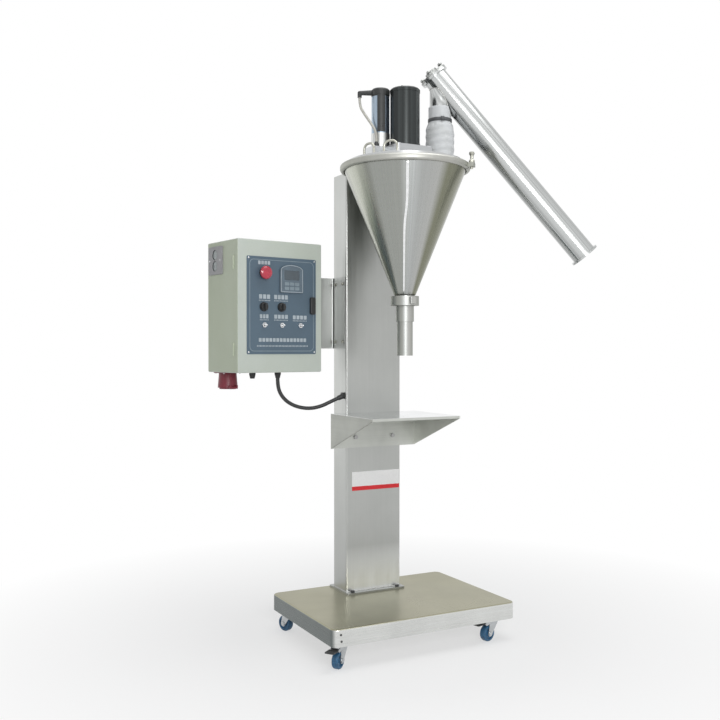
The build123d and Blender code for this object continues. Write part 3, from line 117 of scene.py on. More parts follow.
class Finish:
    """A procedural material with one Principled shader, on Object coordinates or the piece's own map."""

    def __init__(self, name, colour, roughness, metallic=0.0):
        self.material = bpy.data.materials.new(name)
        self.material.use_nodes = True
        self.tree = self.material.node_tree
        self.shader = self.tree.nodes["Principled BSDF"]
        self.shader.inputs["Base Color"].default_value = (*colour, 1.0)
        self.shader.inputs["Roughness"].default_value = roughness
        self.shader.inputs["Metallic"].default_value = metallic

    def add(self, kind, **settings):
        node = self.tree.nodes.new(kind)
        for key, value in settings.items():
            setattr(node, key, value)
        return node

    def join(self, source, target):
        self.tree.links.new(source, target)

    def place(self, scale=(1, 1, 1), shift=(0, 0, 0), turn=(0, 0, 0), source="Object"):
        coordinates = self.add("ShaderNodeTexCoord")
        mapping = self.add("ShaderNodeMapping")
        mapping.inputs["Location"].default_value = shift
        mapping.inputs["Rotation"].default_value = turn
        mapping.inputs["Scale"].default_value = scale
        self.join(coordinates.outputs[source], mapping.inputs["Vector"])
        return mapping.outputs["Vector"]

    def noise(self, vector, scale=1.0, detail=4.0, roughness=0.55):
        node = self.add("ShaderNodeTexNoise")
        node.inputs["Scale"].default_value = scale
        node.inputs["Detail"].default_value = detail
        node.inputs["Roughness"].default_value = roughness
        self.join(vector, node.inputs["Vector"])
        return node.outputs["Fac"]

    def grain(self, scale, detail=4.0, roughness=0.55, source="Object"):
        """Noise at one scale, or at a scale for each axis."""
        scales = scale if isinstance(scale, tuple) else (scale, scale, scale)
        return self.noise(self.place(scales, source=source), 1.0, detail, roughness)

    def ramp(self, value, *stops):
        node = self.add("ShaderNodeValToRGB")
        points = node.color_ramp.elements
        while len(points) < len(stops):
            points.new(0.5)
        for point, (position, colour) in zip(points, stops):
            point.position = position
            point.color = (*colour, 1.0)
        self.join(value, node.inputs["Fac"])
        return node.outputs["Color"]

    def tint(self, value, colour, low, high, start=0.3, end=0.7):
        """A colour that goes from its low to its high share between two values."""
        return self.ramp(value, (start, shade(colour, low)), (end, shade(colour, high)))

    def spread(self, value, low, high, start=0.3, end=0.7):
        node = self.add("ShaderNodeMapRange")
        for name, number in (("From Min", start), ("From Max", end), ("To Min", low), ("To Max", high)):
            node.inputs[name].default_value = number
        self.join(value, node.inputs["Value"])
        return node.outputs["Result"]

    def sum(self, first, second, operation="ADD"):
        node = self.add("ShaderNodeMath", operation=operation)
        for socket, value in zip(node.inputs, (first, second)):
            if isinstance(value, (int, float)):
                socket.default_value = value
            else:
                self.join(value, socket)
        return node.outputs[0]

    def mix(self, factor, first, second, blend="MIX"):
        node = self.add("ShaderNodeMix", data_type="RGBA", blend_type=blend)
        for name, value in (("Factor", factor), ("A", first), ("B", second)):
            socket = next(s for s in node.inputs if s.name == name and s.enabled)
            if isinstance(value, (int, float)):
                socket.default_value = value
            elif isinstance(value, tuple):
                socket.default_value = (*value, 1.0)
            else:
                self.join(value, socket)
        return next(s for s in node.outputs if s.enabled)

    def axis(self, letter, vector=None):
        """One axis of a vector, or of the object's own coordinates."""
        node = self.add("ShaderNodeSeparateXYZ")
        self.join(self.place() if vector is None else vector, node.inputs["Vector"])
        return node.outputs[letter]

    def vector(self, operation, vector, other=None, output="Vector"):
        node = self.add("ShaderNodeVectorMath", operation=operation)
        self.join(vector, node.inputs[0])
        if other is not None:
            node.inputs[1].default_value = other
        return node.outputs[output]

    def in_box(self, middle=(0.0, 0.0, 0.0)):
        """Coordinates in the control box's own frame, from a middle there."""
        turn = BOX_PLACE.to_3x3().inverted()
        return self.place((1, 1, 1), turn @ -BOX_PLACE.translation - Vector(middle), turn.to_euler())

    def bump(self, height, strength, distance):
        node = self.add("ShaderNodeBump")
        node.inputs["Strength"].default_value = strength
        node.inputs["Distance"].default_value = distance
        self.join(height, node.inputs["Height"])
        self.join(node.outputs["Normal"], self.shader.inputs["Normal"])

    def colour_from(self, socket):
        self.join(socket, self.shader.inputs["Base Color"])

    def roughness_from(self, socket):
        self.join(socket, self.shader.inputs["Roughness"])


def brushed_sheet(name, colour, grain, roughness=0.3, contrast=0.07, cloud=0.1, zones=(), relief=0.025,
                  mirror=None):
    """Satin stainless sheet with an upright or level grain and a faint cloudy polish.

    In each zone the sheet goes over to another tone between two places along an axis.
    Above the height of a mirror, the sheet is polished.
    """
    finish = Finish(name, colour, roughness, 1.0)
    fine = {"level": (7, 7, 900), "upright": (900, 900, 7)}[grain]
    broad = {"level": (2, 2, 90), "upright": (90, 90, 2)}[grain]
    hairlines = finish.grain(fine, 3.0)
    bands = finish.grain(broad, 2.0)
    polish = finish.grain((7, 7, 5), 3.0)
    tone = colour
    for letter, start, end, beyond in zones:
        along = finish.axis(letter)
        tone = finish.mix(finish.spread(along, 0.0, 1.0, start, end), tone, beyond)
    grey = ((0.3, shade((1, 1, 1), 1 - 2 * contrast)), (0.7, (1, 1, 1)))
    tone = finish.mix(1.0, tone, finish.ramp(hairlines, *grey), "MULTIPLY")
    tone = finish.mix(0.4, tone, finish.mix(1.0, tone, finish.ramp(bands, *grey), "MULTIPLY"))
    cloudy = finish.ramp(polish, (0.3, shade((1, 1, 1), 1 - cloud)), (0.7, (1, 1, 1)))
    finish.colour_from(finish.mix(1.0, tone, cloudy, "MULTIPLY"))
    worn = finish.spread(bands, roughness - 0.04, roughness + 0.06)
    if mirror:
        height = finish.axis("Z")
        worn = finish.sum(worn, finish.spread(height, 1.0, 0.25, mirror, mirror + 0.0004), "MULTIPLY")
    finish.roughness_from(worn)
    finish.bump(hairlines, relief, 0.0002)
    return finish.material


def turned_sheet(name, colour, bands, axis, roughness=0.27, brushing=0.75):
    """Rolled, polished stainless round an upright axis, with painted reflections as bands of tone at headings
    in turns.
    """
    finish = Finish(name, colour, roughness, 1.0)
    finish.shader.inputs["Anisotropic"].default_value = brushing
    finish.shader.inputs["Anisotropic Rotation"].default_value = 0.25
    tangent = finish.add("ShaderNodeTangent", direction_type="RADIAL", axis="Z")
    finish.join(tangent.outputs["Tangent"], finish.shader.inputs["Tangent"])
    flat = finish.place((1, 1, 0), (-axis.x, -axis.y, 0))
    heading = finish.add("ShaderNodeTexGradient", gradient_type="RADIAL")
    finish.join(flat, heading.inputs["Vector"])
    narrow = finish.noise(finish.vector("NORMALIZE", flat), 18.0, 3.0)
    rings = finish.grain((3, 3, 700), 2.0)
    # Painted reflections: the bands set the tone by heading.
    tone = finish.ramp(heading.outputs["Fac"], *bands)
    tone = finish.mix(0.22, tone, finish.tint(narrow, colour, 0.72, 1.15))
    finish.colour_from(finish.mix(0.12, tone, finish.tint(rings, colour, 0.75, 1.0)))
    finish.roughness_from(finish.spread(narrow, roughness - 0.04, roughness + 0.06))
    finish.bump(rings, 0.03, 0.0002)
    return finish.material


def polished_tube(name, colour, start, way, roughness=0.2):
    """Drawn and polished tube with painted reflections: dark and bright lines along its length."""
    finish = Finish(name, colour, roughness, 1.0)
    turn = way.to_track_quat("Z", "Y").inverted()
    centred = finish.place((1, 1, 1), turn @ -start, turn.to_euler())
    around = finish.vector("NORMALIZE", finish.vector("MULTIPLY", centred, (1.0, 1.0, 0.0)))
    wide_reflections = finish.noise(around, 2.1, 2.0)
    reflection_lines = finish.noise(around, 9.0, 2.0)
    scratch = finish.grain(260, 4.0)
    # Painted reflection: dark and bright streaks round the tube stand in for what it reflects.
    tone = finish.ramp(wide_reflections, (0.36, shade(colour, 0.5)), (0.5, colour), (0.66, shade(colour, 1.3)))
    tone = finish.mix(0.4, tone, finish.tint(reflection_lines, colour, 0.42, 1.2, 0.36, 0.58))
    finish.colour_from(finish.mix(0.1, tone, finish.tint(scratch, colour, 0.6, 1.0)))
    finish.roughness_from(finish.spread(reflection_lines, roughness - 0.05, roughness + 0.08))
    finish.bump(scratch, 0.03, 0.0002)
    return finish.material


def collar_rings(name, split):
    """Black collars above a height and bright nuts below it."""
    finish = Finish(name, (0.5, 0.5, 0.5), 0.3)
    height = finish.axis("Z")
    upper = finish.sum(height, split, "GREATER_THAN")
    marks = finish.grain(90, 5.0)
    black = finish.ramp(marks, (0.3, (0.015, 0.016, 0.016)), (0.7, (0.03, 0.031, 0.032)))
    bright = finish.ramp(marks, (0.3, (0.66, 0.67, 0.68)), (0.7, (0.8, 0.81, 0.82)))
    finish.colour_from(finish.mix(upper, bright, black))
    finish.join(finish.spread(upper, 1.0, 0.0, 0.0, 1.0), finish.shader.inputs["Metallic"])
    finish.roughness_from(finish.spread(marks, 0.16, 0.36))
    return finish.material


def plated_steel(name, colour, roughness=0.32):
    """Zinc plated pressing with a faint crystalline mottle."""
    finish = Finish(name, colour, roughness, 1.0)
    crystals = finish.add("ShaderNodeTexVoronoi")
    crystals.inputs["Scale"].default_value = 260.0
    finish.join(finish.place(), crystals.inputs["Vector"])
    dust = finish.grain(40, 5.0)
    tone = finish.tint(crystals.outputs["Distance"], colour, 0.85, 1.12, 0.1, 0.7)
    finish.colour_from(finish.mix(0.5, tone, finish.tint(dust, colour, 0.7, 1.0, 0.3, 0.65)))
    finish.roughness_from(finish.spread(dust, roughness - 0.06, roughness + 0.16))
    finish.bump(dust, 0.08, 0.0003)
    return finish.material


def chromed(name, colour=(0.78, 0.79, 0.8)):
    """Bright plating with faint fingermarks."""
    finish = Finish(name, colour, 0.12, 1.0)
    marks = finish.grain(70, 5.0)
    finish.colour_from(finish.tint(marks, colour, 0.86, 1.0))
    finish.roughness_from(finish.spread(marks, 0.08, 0.24))
    return finish.material


def textured_paint(name, colour, side, roughness=0.5):
    """Fine orange-peel powder coat, with painted shade that makes the box's left side darker and yellower."""
    finish = Finish(name, colour, roughness)
    peel = finish.grain(1100, 2.0)
    tone = finish.grain((6, 6, 4), 4.0)
    speck = finish.tint(peel, colour, 0.93, 1.05, 0.35, 0.65)
    cloudy = finish.ramp(tone, (0.3, (0.93, 0.94, 0.9)), (0.7, (1, 1, 1)))
    across = finish.axis("X", finish.in_box())
    # Painted shade: the box's left side takes the darker, yellower side tone.
    left_side_shade = finish.mix(finish.spread(across, 0.0, 1.0, 0.0003, 0.0015), side, (1.0, 1.0, 1.0))
    speck = finish.mix(1.0, speck, left_side_shade, "MULTIPLY")
    finish.colour_from(finish.mix(1.0, speck, cloudy, "MULTIPLY"))
    finish.roughness_from(finish.spread(peel, roughness - 0.06, roughness + 0.08))
    finish.bump(peel, 0.16, 0.0004)
    return finish.material


def moulded(name, colour, roughness=0.4, coat=0.0, grain=900.0):
    """Moulded plastic or rubber with a fine spark-eroded grain and slight scuffs."""
    finish = Finish(name, colour, roughness)
    finish.shader.inputs["Coat Weight"].default_value = coat
    skin = finish.grain(grain, 2.0)
    scuff = finish.grain(45, 6.0, 0.65)
    tone = finish.tint(scuff, colour, 0.82, 1.12, 0.32, 0.68)
    finish.colour_from(finish.mix(0.2, tone, finish.tint(skin, colour, 0.75, 1.0)))
    finish.roughness_from(finish.spread(scuff, roughness - 0.08, roughness + 0.1))
    finish.bump(skin, 0.1, 0.0002)
    return finish.material


def outlet_moulding(name, plate, face, rim):
    """Outlet plate whose two round faces are paler, each inside a dark rim that is painted shadow at the
    recess's edge.
    """
    finish = Finish(name, plate, 0.42)
    side = finish.vector("MULTIPLY", finish.in_box(OUTLET_MIDDLE), (0.0, 1.0, 1.0))
    reaches = [finish.vector("DISTANCE", side, (0.0, 0.0, height), "Value") for height in (-0.017, 0.017)]
    nearest = finish.spread(finish.sum(*reaches, "MINIMUM"), 0.0, 1.0, 0.0, 0.03)
    scuff = finish.grain(45, 6.0, 0.65)
    # Painted shadow: a dark ring at each recess's edge.
    tone = finish.ramp(nearest, (0.45, face), (0.48, rim), (0.51, rim), (0.54, plate))
    worn = finish.ramp(scuff, (0.32, (0.82, 0.82, 0.82)), (0.68, (1, 1, 1)))
    finish.colour_from(finish.mix(1.0, tone, worn, "MULTIPLY"))
    finish.roughness_from(finish.spread(scuff, 0.34, 0.52))
    finish.bump(scuff, 0.05, 0.0002)
    return finish.material


def panel_film(name, colour):
    """Slate blue front film with a fine speckle."""
    finish = Finish(name, colour, 0.38)
    speck = finish.grain(1500, 2.0)
    tone = finish.grain((9, 9, 7), 3.0)
    fine = finish.tint(speck, colour, 0.86, 1.1)
    finish.colour_from(finish.mix(0.4, fine, finish.tint(tone, colour, 0.88, 1.12)))
    finish.roughness_from(finish.spread(tone, 0.32, 0.46))
    finish.bump(speck, 0.06, 0.0002)
    return finish.material


def anodised(name, colour, axis):
    """Dark anodised motor casing, drawn along its length, with painted highlight bands round it."""
    finish = Finish(name, colour, 0.3, 0.6)
    around = finish.vector("NORMALIZE", finish.place((1, 1, 0), (-axis.x, -axis.y, 0)))
    draw = finish.noise(around, 40.0, 3.0)
    bands = finish.noise(around, 3.0, 1.0)
    tone = finish.tint(draw, colour, 0.75, 1.3)
    # Painted highlights: broad bands up to three times as bright as the casing.
    finish.colour_from(finish.mix(0.5, tone, finish.tint(bands, colour, 0.6, 3.0, 0.35, 0.68)))
    finish.roughness_from(finish.spread(draw, 0.26, 0.4))
    finish.bump(draw, 0.05, 0.0002)
    return finish.material


def gear_motor_casing(name):
    """Pale gearhead, drawn bluish body and black cap with its boot, split by height."""
    finish = Finish(name, (0.4, 0.45, 0.5), 0.3)
    height = finish.axis("Z")
    streak = finish.grain((300, 300, 8), 3.0)
    body = finish.ramp(streak, (0.3, (0.26, 0.33, 0.41)), (0.7, (0.42, 0.5, 0.58)))
    head = finish.ramp(streak, (0.3, (0.5, 0.51, 0.5)), (0.7, (0.66, 0.67, 0.66)))
    black = finish.ramp(streak, (0.3, (0.018, 0.02, 0.02)), (0.7, (0.035, 0.037, 0.036)))
    above_head = finish.sum(height, GEARHEAD_TOP, "GREATER_THAN")
    in_cap = finish.sum(height, BLACK_CAP_FROM, "GREATER_THAN")
    finish.colour_from(finish.mix(in_cap, finish.mix(above_head, head, body), black))
    finish.join(finish.spread(in_cap, 1.0, 0.0, 0.0, 1.0), finish.shader.inputs["Metallic"])
    finish.roughness_from(finish.spread(streak, 0.27, 0.42))
    finish.bump(streak, 0.05, 0.0002)
    return finish.material


def canvas_cloth(name, colour):
    """Plain woven canvas; the map runs round the sleeve and up it, in metres."""
    finish = Finish(name, colour, 0.85)
    finish.shader.inputs["Sheen Weight"].default_value = 0.25
    cloth = finish.place(source="UV")
    threads = []
    for direction in "XY":
        wave = finish.add("ShaderNodeTexWave", wave_type="BANDS", bands_direction=direction)
        wave.inputs["Scale"].default_value = 130.0
        finish.join(cloth, wave.inputs["Vector"])
        threads.append(wave.outputs["Fac"])
    weave = finish.sum(*threads, "MULTIPLY")
    slub = finish.grain((60, 400, 1), 3.0, source="UV")
    soil = finish.grain((22, 22, 16), 4.0)
    tone = finish.tint(weave, colour, 0.88, 1.0, 0.0, 0.6)
    tone = finish.mix(0.3, tone, finish.tint(slub, colour, 0.86, 1.04))
    cloudy = finish.ramp(soil, (0.28, (0.9, 0.9, 0.88)), (0.6, (1, 1, 1)))
    finish.colour_from(finish.mix(1.0, tone, cloudy, "MULTIPLY"))
    finish.bump(finish.sum(weave, finish.sum(slub, 0.5, "MULTIPLY")), 0.35, 0.0006)
    return finish.material


def cable_jacket(name, colour, roughness):
    """Extruded cable jacket with a faint drawn grain."""
    finish = Finish(name, colour, roughness)
    grain = finish.grain(500, 2.0)
    dust = finish.grain(50, 4.0)
    tone = finish.tint(dust, colour, 0.85, 1.25)
    finish.colour_from(finish.mix(0.25, tone, finish.tint(grain, colour, 0.8, 1.0)))
    finish.roughness_from(finish.spread(dust, roughness - 0.06, roughness + 0.12))
    finish.bump(grain, 0.08, 0.0002)
    return finish.material


def caster_tread(name, colour):
    """Blue elastic tread, darker where it has rolled."""
    finish = Finish(name, colour, 0.42)
    grime = finish.grain(120, 5.0)
    finish.colour_from(finish.tint(grime, colour, 0.62, 1.15, 0.3, 0.66))
    finish.roughness_from(finish.spread(grime, 0.34, 0.55))
    finish.bump(grime, 0.12, 0.0004)
    return finish.material


def blank_label(name):
    """Plain white label with a red band along its foot."""
    finish = Finish(name, (0.9, 0.9, 0.9), 0.35)
    band = finish.sum(finish.axis("Z"), LABEL_BAND, "LESS_THAN")
    paper = finish.grain(300, 3.0)
    white = finish.ramp(paper, (0.3, (0.86, 0.86, 0.86)), (0.7, (0.92, 0.92, 0.92)))
    red = finish.ramp(paper, (0.3, (0.68, 0.012, 0.02)), (0.7, (0.76, 0.018, 0.028)))
    finish.colour_from(finish.mix(band, white, red))
    finish.roughness_from(finish.spread(paper, 0.3, 0.42))
    return finish.material


# Painted reflection: the column's front is near white at its foot, standing in for the pale tray it reflects,
# and goes over to its own tone between 0.15 and 0.27 m high; the left face keeps its own tone all the way up.
column_tone = (0.455, 0.465, 0.45)
column_foot_reflection_zones = [("Z", 0.15, 0.27, column_tone), ("X", COLUMN_SIDE + 0.003, COLUMN_SIDE + 0.001, column_tone)]
stainless_upright = brushed_sheet("stainless_upright", (0.98, 1.0, 1.0), "upright", 0.34, 0.025, 0.08,
                                  column_foot_reflection_zones, 0.004)
stainless_bracket = brushed_sheet("stainless_bracket", (0.42, 0.43, 0.42), "upright", 0.36, 0.03, 0.12)
# Painted reflection and shade: the one sheet is pale on its front, dark on its left flange (painted shade)
# and olive on its top (painted reflection of warm surroundings).
tray_reflection_and_shade_zones = [
    ("X", TRAY_SIDE + 0.009, TRAY_SIDE + 0.002, (0.19, 0.21, 0.205)),
    ("Z", TRAY_TOP - 0.0035, TRAY_TOP - 0.0008, (0.345, 0.33, 0.222)),
]
stainless_tray = brushed_sheet("stainless_tray", (0.77, 0.78, 0.76), "level", 0.27, 0.05, 0.12, tray_reflection_and_shade_zones)
# Painted light and shade: the one sheet is darkest left of its left inside edge, paler between its inside
# edges, palest right of its right inside edge and nearly as pale on its top, each tone standing in for how
# light falls there.
shelf_lit_and_shaded_zones = [
    ("X", -SHELF_INSIDE - 0.0005, -SHELF_INSIDE + 0.001, (0.6, 0.615, 0.58)),
    ("X", SHELF_INSIDE - 0.001, SHELF_INSIDE + 0.0005, (0.85, 0.86, 0.82)),
    ("Z", SHELF_TOP - 0.0006, SHELF_TOP - 0.0002, (0.82, 0.84, 0.85)),
]
stainless_shelf = brushed_sheet("stainless_shelf", (0.42, 0.43, 0.4), "level", 0.5, 0.04, 0.24, shelf_lit_and_shaded_zones,
                                mirror=SHELF_TOP - 0.0006)
# Painted reflections round the hopper: tones set out by heading in turns
steel_dark, steel_grey = (0.21, 0.215, 0.18), (0.3, 0.31, 0.28)
steel_cool, steel_pale = (0.4, 0.415, 0.41), (0.46, 0.46, 0.44)
olive_pale, olive_dark = (0.37, 0.38, 0.31), (0.145, 0.145, 0.07)
cone_reflection_bands = (
    (0.04, olive_pale), (0.058, steel_dark), (0.075, steel_grey), (0.15, steel_grey),
    (0.185, steel_cool), (0.262, steel_pale), (0.29, olive_dark), (0.38, olive_dark),
    (0.46, steel_cool), (0.62, steel_pale), (0.75, steel_grey), (0.95, olive_pale),
)
nozzle_reflection_bands = (
    (0.0, steel_grey), (0.1, steel_grey), (0.16, steel_cool), (0.26, steel_pale),
    (0.36, steel_grey), (0.6, steel_pale), (1.0, steel_grey),
)
rim_reflection_bands = (
    (0.0, steel_grey), (0.15, steel_pale), (0.28, steel_pale), (0.36, steel_grey),
    (0.7, steel_pale), (1.0, steel_grey),
)
stainless_cone = turned_sheet("stainless_cone", steel_cool, cone_reflection_bands, FILLING_AXIS)
stainless_rim = turned_sheet("stainless_rim", (0.46, 0.46, 0.41), rim_reflection_bands, FILLING_AXIS, 0.46, 0.0)
stainless_nozzle = turned_sheet("stainless_nozzle", (0.45, 0.455, 0.43), nozzle_reflection_bands, FILLING_AXIS,
                                0.46, 0.0)
stainless_lid = brushed_sheet("stainless_lid", (0.6, 0.61, 0.61), "level", 0.3, 0.05)
stainless_bright = brushed_sheet("stainless_bright", (0.55, 0.565, 0.575), "level", 0.3, 0.05)
feed_tube = polished_tube("feed_tube", (0.56, 0.575, 0.57), FEEDER_START, FEEDER_WAY)
feed_cover = polished_tube("feed_cover", (0.36, 0.37, 0.36), FEEDER_START, FEEDER_WAY, 0.32)
# Bright plating for the cone's seam, which also serves as a painted highlight.
seam_and_highlight = chromed("seam_and_highlight", (0.9, 0.91, 0.91))
wire_steel = plated_steel("wire_steel", (0.44, 0.44, 0.39), 0.3)
zinc = plated_steel("zinc", (0.55, 0.57, 0.58))
rail_steel = plated_steel("rail_steel", (0.42, 0.42, 0.41), 0.4)
gear_steel = plated_steel("gear_steel", (0.38, 0.38, 0.38), 0.35)
chrome = chromed("chrome")
collars = collar_rings("collars", 1.0)
bolt_black = moulded("bolt_black", (0.045, 0.046, 0.047), 0.45)
blue_tread = caster_tread("blue_tread", (0.035, 0.13, 0.25))
# The second tone is painted shade for the box's left side.
box_paint = textured_paint("box_paint", (0.56, 0.605, 0.56), (0.92, 0.94, 0.8))
slate_film = panel_film("slate_film", (0.092, 0.14, 0.185))
red_gloss = moulded("red_gloss", (0.5, 0.03, 0.06), 0.25, 0.4, 300.0)
red_moulded = moulded("red_moulded", (0.2, 0.024, 0.038), 0.42)
black_moulded = moulded("black_moulded", (0.022, 0.023, 0.023), 0.42)
grey_moulded = moulded("grey_moulded", (0.37, 0.37, 0.385), 0.42)
outlet_grey = outlet_moulding("outlet_grey", (0.33, 0.33, 0.34), (0.42, 0.46, 0.46), (0.07, 0.08, 0.08))
meter_moulded = moulded("meter_moulded", (0.13, 0.175, 0.215), 0.35)
motor_black = anodised("motor_black", (0.03, 0.034, 0.034), FILLING_AXIS)
motor_silver = gear_motor_casing("motor_silver")
canvas = canvas_cloth("canvas", (0.75, 0.77, 0.785))
strap = moulded("strap", (0.1, 0.105, 0.11), 0.6)
thread = moulded("thread", (0.7, 0.71, 0.7), 0.8)
# Painted reflection of the black auger motor on the agitator's motor.
painted_motor_reflection = moulded("painted_motor_reflection", (0.02, 0.022, 0.022), 0.3, 0.3, 300.0)
black_jacket = cable_jacket("black_jacket", (0.022, 0.023, 0.024), 0.4)
grey_jacket = cable_jacket("grey_jacket", (0.52, 0.51, 0.46), 0.45)
print_pale = moulded("print_pale", (0.46, 0.52, 0.56), 0.5)
print_line = moulded("print_line", (0.24, 0.3, 0.34), 0.45)
glass_dark = moulded("glass_dark", (0.055, 0.08, 0.1), 0.12, 0.6, 200.0)
white_label = blank_label("white_label")
weld_bead = plated_steel("weld_bead", (0.5, 0.5, 0.48), 0.35)

node_finishes = {
    stainless_upright: ["column"],
    stainless_bracket: ["box_bracket", "hopper_bracket", "column_foot"],
    stainless_tray: ["base_tray"],
    stainless_shelf: ["shelf_table", "shelf_saddle"],
    stainless_cone: ["hopper_cone"],
    stainless_lid: ["hopper_lid"],
    stainless_rim: ["clamp_ring"],
    stainless_nozzle: ["nozzle_tube", "nozzle_clamp"],
    stainless_bright: ["drive_case", "auger", "agitator", "feeder_screw"],
    feed_tube: ["feeder_tube"],
    feed_cover: ["feeder_cover"],
    chrome: ["toggle_1", "toggle_2", "toggle_3"],
    wire_steel: ["lid_handles", "clamp_knob"],
    collars: ["panel_bezels"],
    zinc: ["caster_plates", "fork_front_left", "fork_front_right", "fork_rear_left", "fork_rear_right"],
    rail_steel: ["base_rails"],
    bolt_black: ["frame_bolts", "brake_front_left", "brake_front_right"],
    blue_tread: ["wheel_front_left", "wheel_front_right", "wheel_rear_left", "wheel_rear_right"],
    box_paint: ["box_shell", "box_door"],
    slate_film: ["panel_plate"],
    meter_moulded: ["meter"],
    red_gloss: ["stop_button"],
    red_moulded: ["red_socket", "socket_flap"],
    black_moulded: ["selector_1", "selector_2", "door_latch", "cable_glands", "motor_cable_gland"],
    grey_moulded: ["control_modules"],
    outlet_grey: ["outlet_plate"],
    motor_black: ["auger_motor"],
    motor_silver: ["agitator_motor"],
    gear_steel: ["agitator_gear", "pinion", "shelf_bolts"],
    canvas: ["sleeve"],
    strap: ["sleeve_bands"],
    black_jacket: ["control_cable"],
    grey_jacket: ["motor_cable"],
}
for finish_material, dressed in node_finishes.items():
    for node_name in dressed:
        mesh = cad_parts[node_name].data
        mesh.materials.clear()
        mesh.materials.append(finish_material)


# Pieces as plain meshes
def piece_from(mesh, name, body, slot, *materials):
    """A finished piece at the origin that rides on a body."""
    for material in materials:
        mesh.materials.append(material)
    piece = bpy.data.objects.new(name, mesh)
    bpy.context.scene.collection.objects.link(piece)
    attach(piece, body)
    return piece


def piece_from_bmesh(shape, name, body, slot, material, smooth=True):
    """Merges doubles, turns the faces outwards and makes a piece."""
    bmesh.ops.remove_doubles(shape, verts=shape.verts, dist=1e-6)
    bmesh.ops.recalc_face_normals(shape, faces=shape.faces)
    mesh = bpy.data.meshes.new(name)
    shape.to_mesh(mesh)
    shape.free()
    if smooth:
        mesh.shade_smooth()
    return piece_from(mesh, name, body, slot, material)


def baked(source, tree, values, name):
    """The plain mesh that a node tree makes of a source mesh, with its inputs set by identifier."""
    carrier = bpy.data.objects.new(name + "_carrier", source)
    bpy.context.scene.collection.objects.link(carrier)
    modifier = carrier.modifiers.new("nodes", "NODES")
    modifier.node_group = tree
    for item in tree.interface.items_tree:
        if item.item_type == "SOCKET" and item.in_out == "INPUT" and item.name in values:
            modifier[item.identifier] = values[item.name]
    depsgraph = bpy.context.evaluated_depsgraph_get()
    mesh = bpy.data.meshes.new_from_object(carrier.evaluated_get(depsgraph), depsgraph=depsgraph)
    carrier.modifiers.remove(modifier)
    bpy.data.objects.remove(carrier)
    mesh.name = name
    return mesh


class Tree:
    """A Geometry Nodes tree with a mesh input, named sizes and a mesh output."""

    def __init__(self, name, **sizes):
        self.group = bpy.data.node_groups.new(name, "GeometryNodeTree")
        sockets = self.group.interface
        sockets.new_socket("Mesh", in_out="INPUT", socket_type="NodeSocketGeometry")
        for label, value in sizes.items():
            kind = "NodeSocketInt" if isinstance(value, int) else "NodeSocketFloat"
            socket = sockets.new_socket(label.replace("_", " "), in_out="INPUT", socket_type=kind)
            socket.default_value = value
        sockets.new_socket("Material", in_out="INPUT", socket_type="NodeSocketMaterial")
        sockets.new_socket("Mesh", in_out="OUTPUT", socket_type="NodeSocketGeometry")
        self.inputs = self.group.nodes.new("NodeGroupInput").outputs

    def add(self, kind, links=None, **settings):
        node = self.group.nodes.new(kind)
        for key, value in settings.items():
            setattr(node, key, value)
        for label, source in (links or {}).items():
            socket = next(s for s in node.inputs if s.name == label and s.enabled)
            if isinstance(source, bpy.types.NodeSocket):
                self.group.links.new(source, socket)
            else:
                socket.default_value = source
        return next(s for s in node.outputs if s.enabled)

    def triple(self, x=0.0, y=0.0, z=0.0):
        return self.add("ShaderNodeCombineXYZ", {"X": x, "Y": y, "Z": z})

    def math(self, operation, first, second=0.0):
        node = self.group.nodes.new("ShaderNodeMath")
        node.operation = operation
        for socket, value in zip(node.inputs, (first, second)):
            if isinstance(value, bpy.types.NodeSocket):
                self.group.links.new(value, socket)
            else:
                socket.default_value = value
        return node.outputs[0]

    def end(self, geometry):
        real = self.add("GeometryNodeRealizeInstances", {"Geometry": geometry})
        dressed = self.add("GeometryNodeSetMaterial", {"Geometry": real, "Material": self.inputs["Material"]})
        out = self.group.nodes.new("NodeGroupOutput")
        self.group.links.new(dressed, out.inputs["Mesh"])
        return self.group


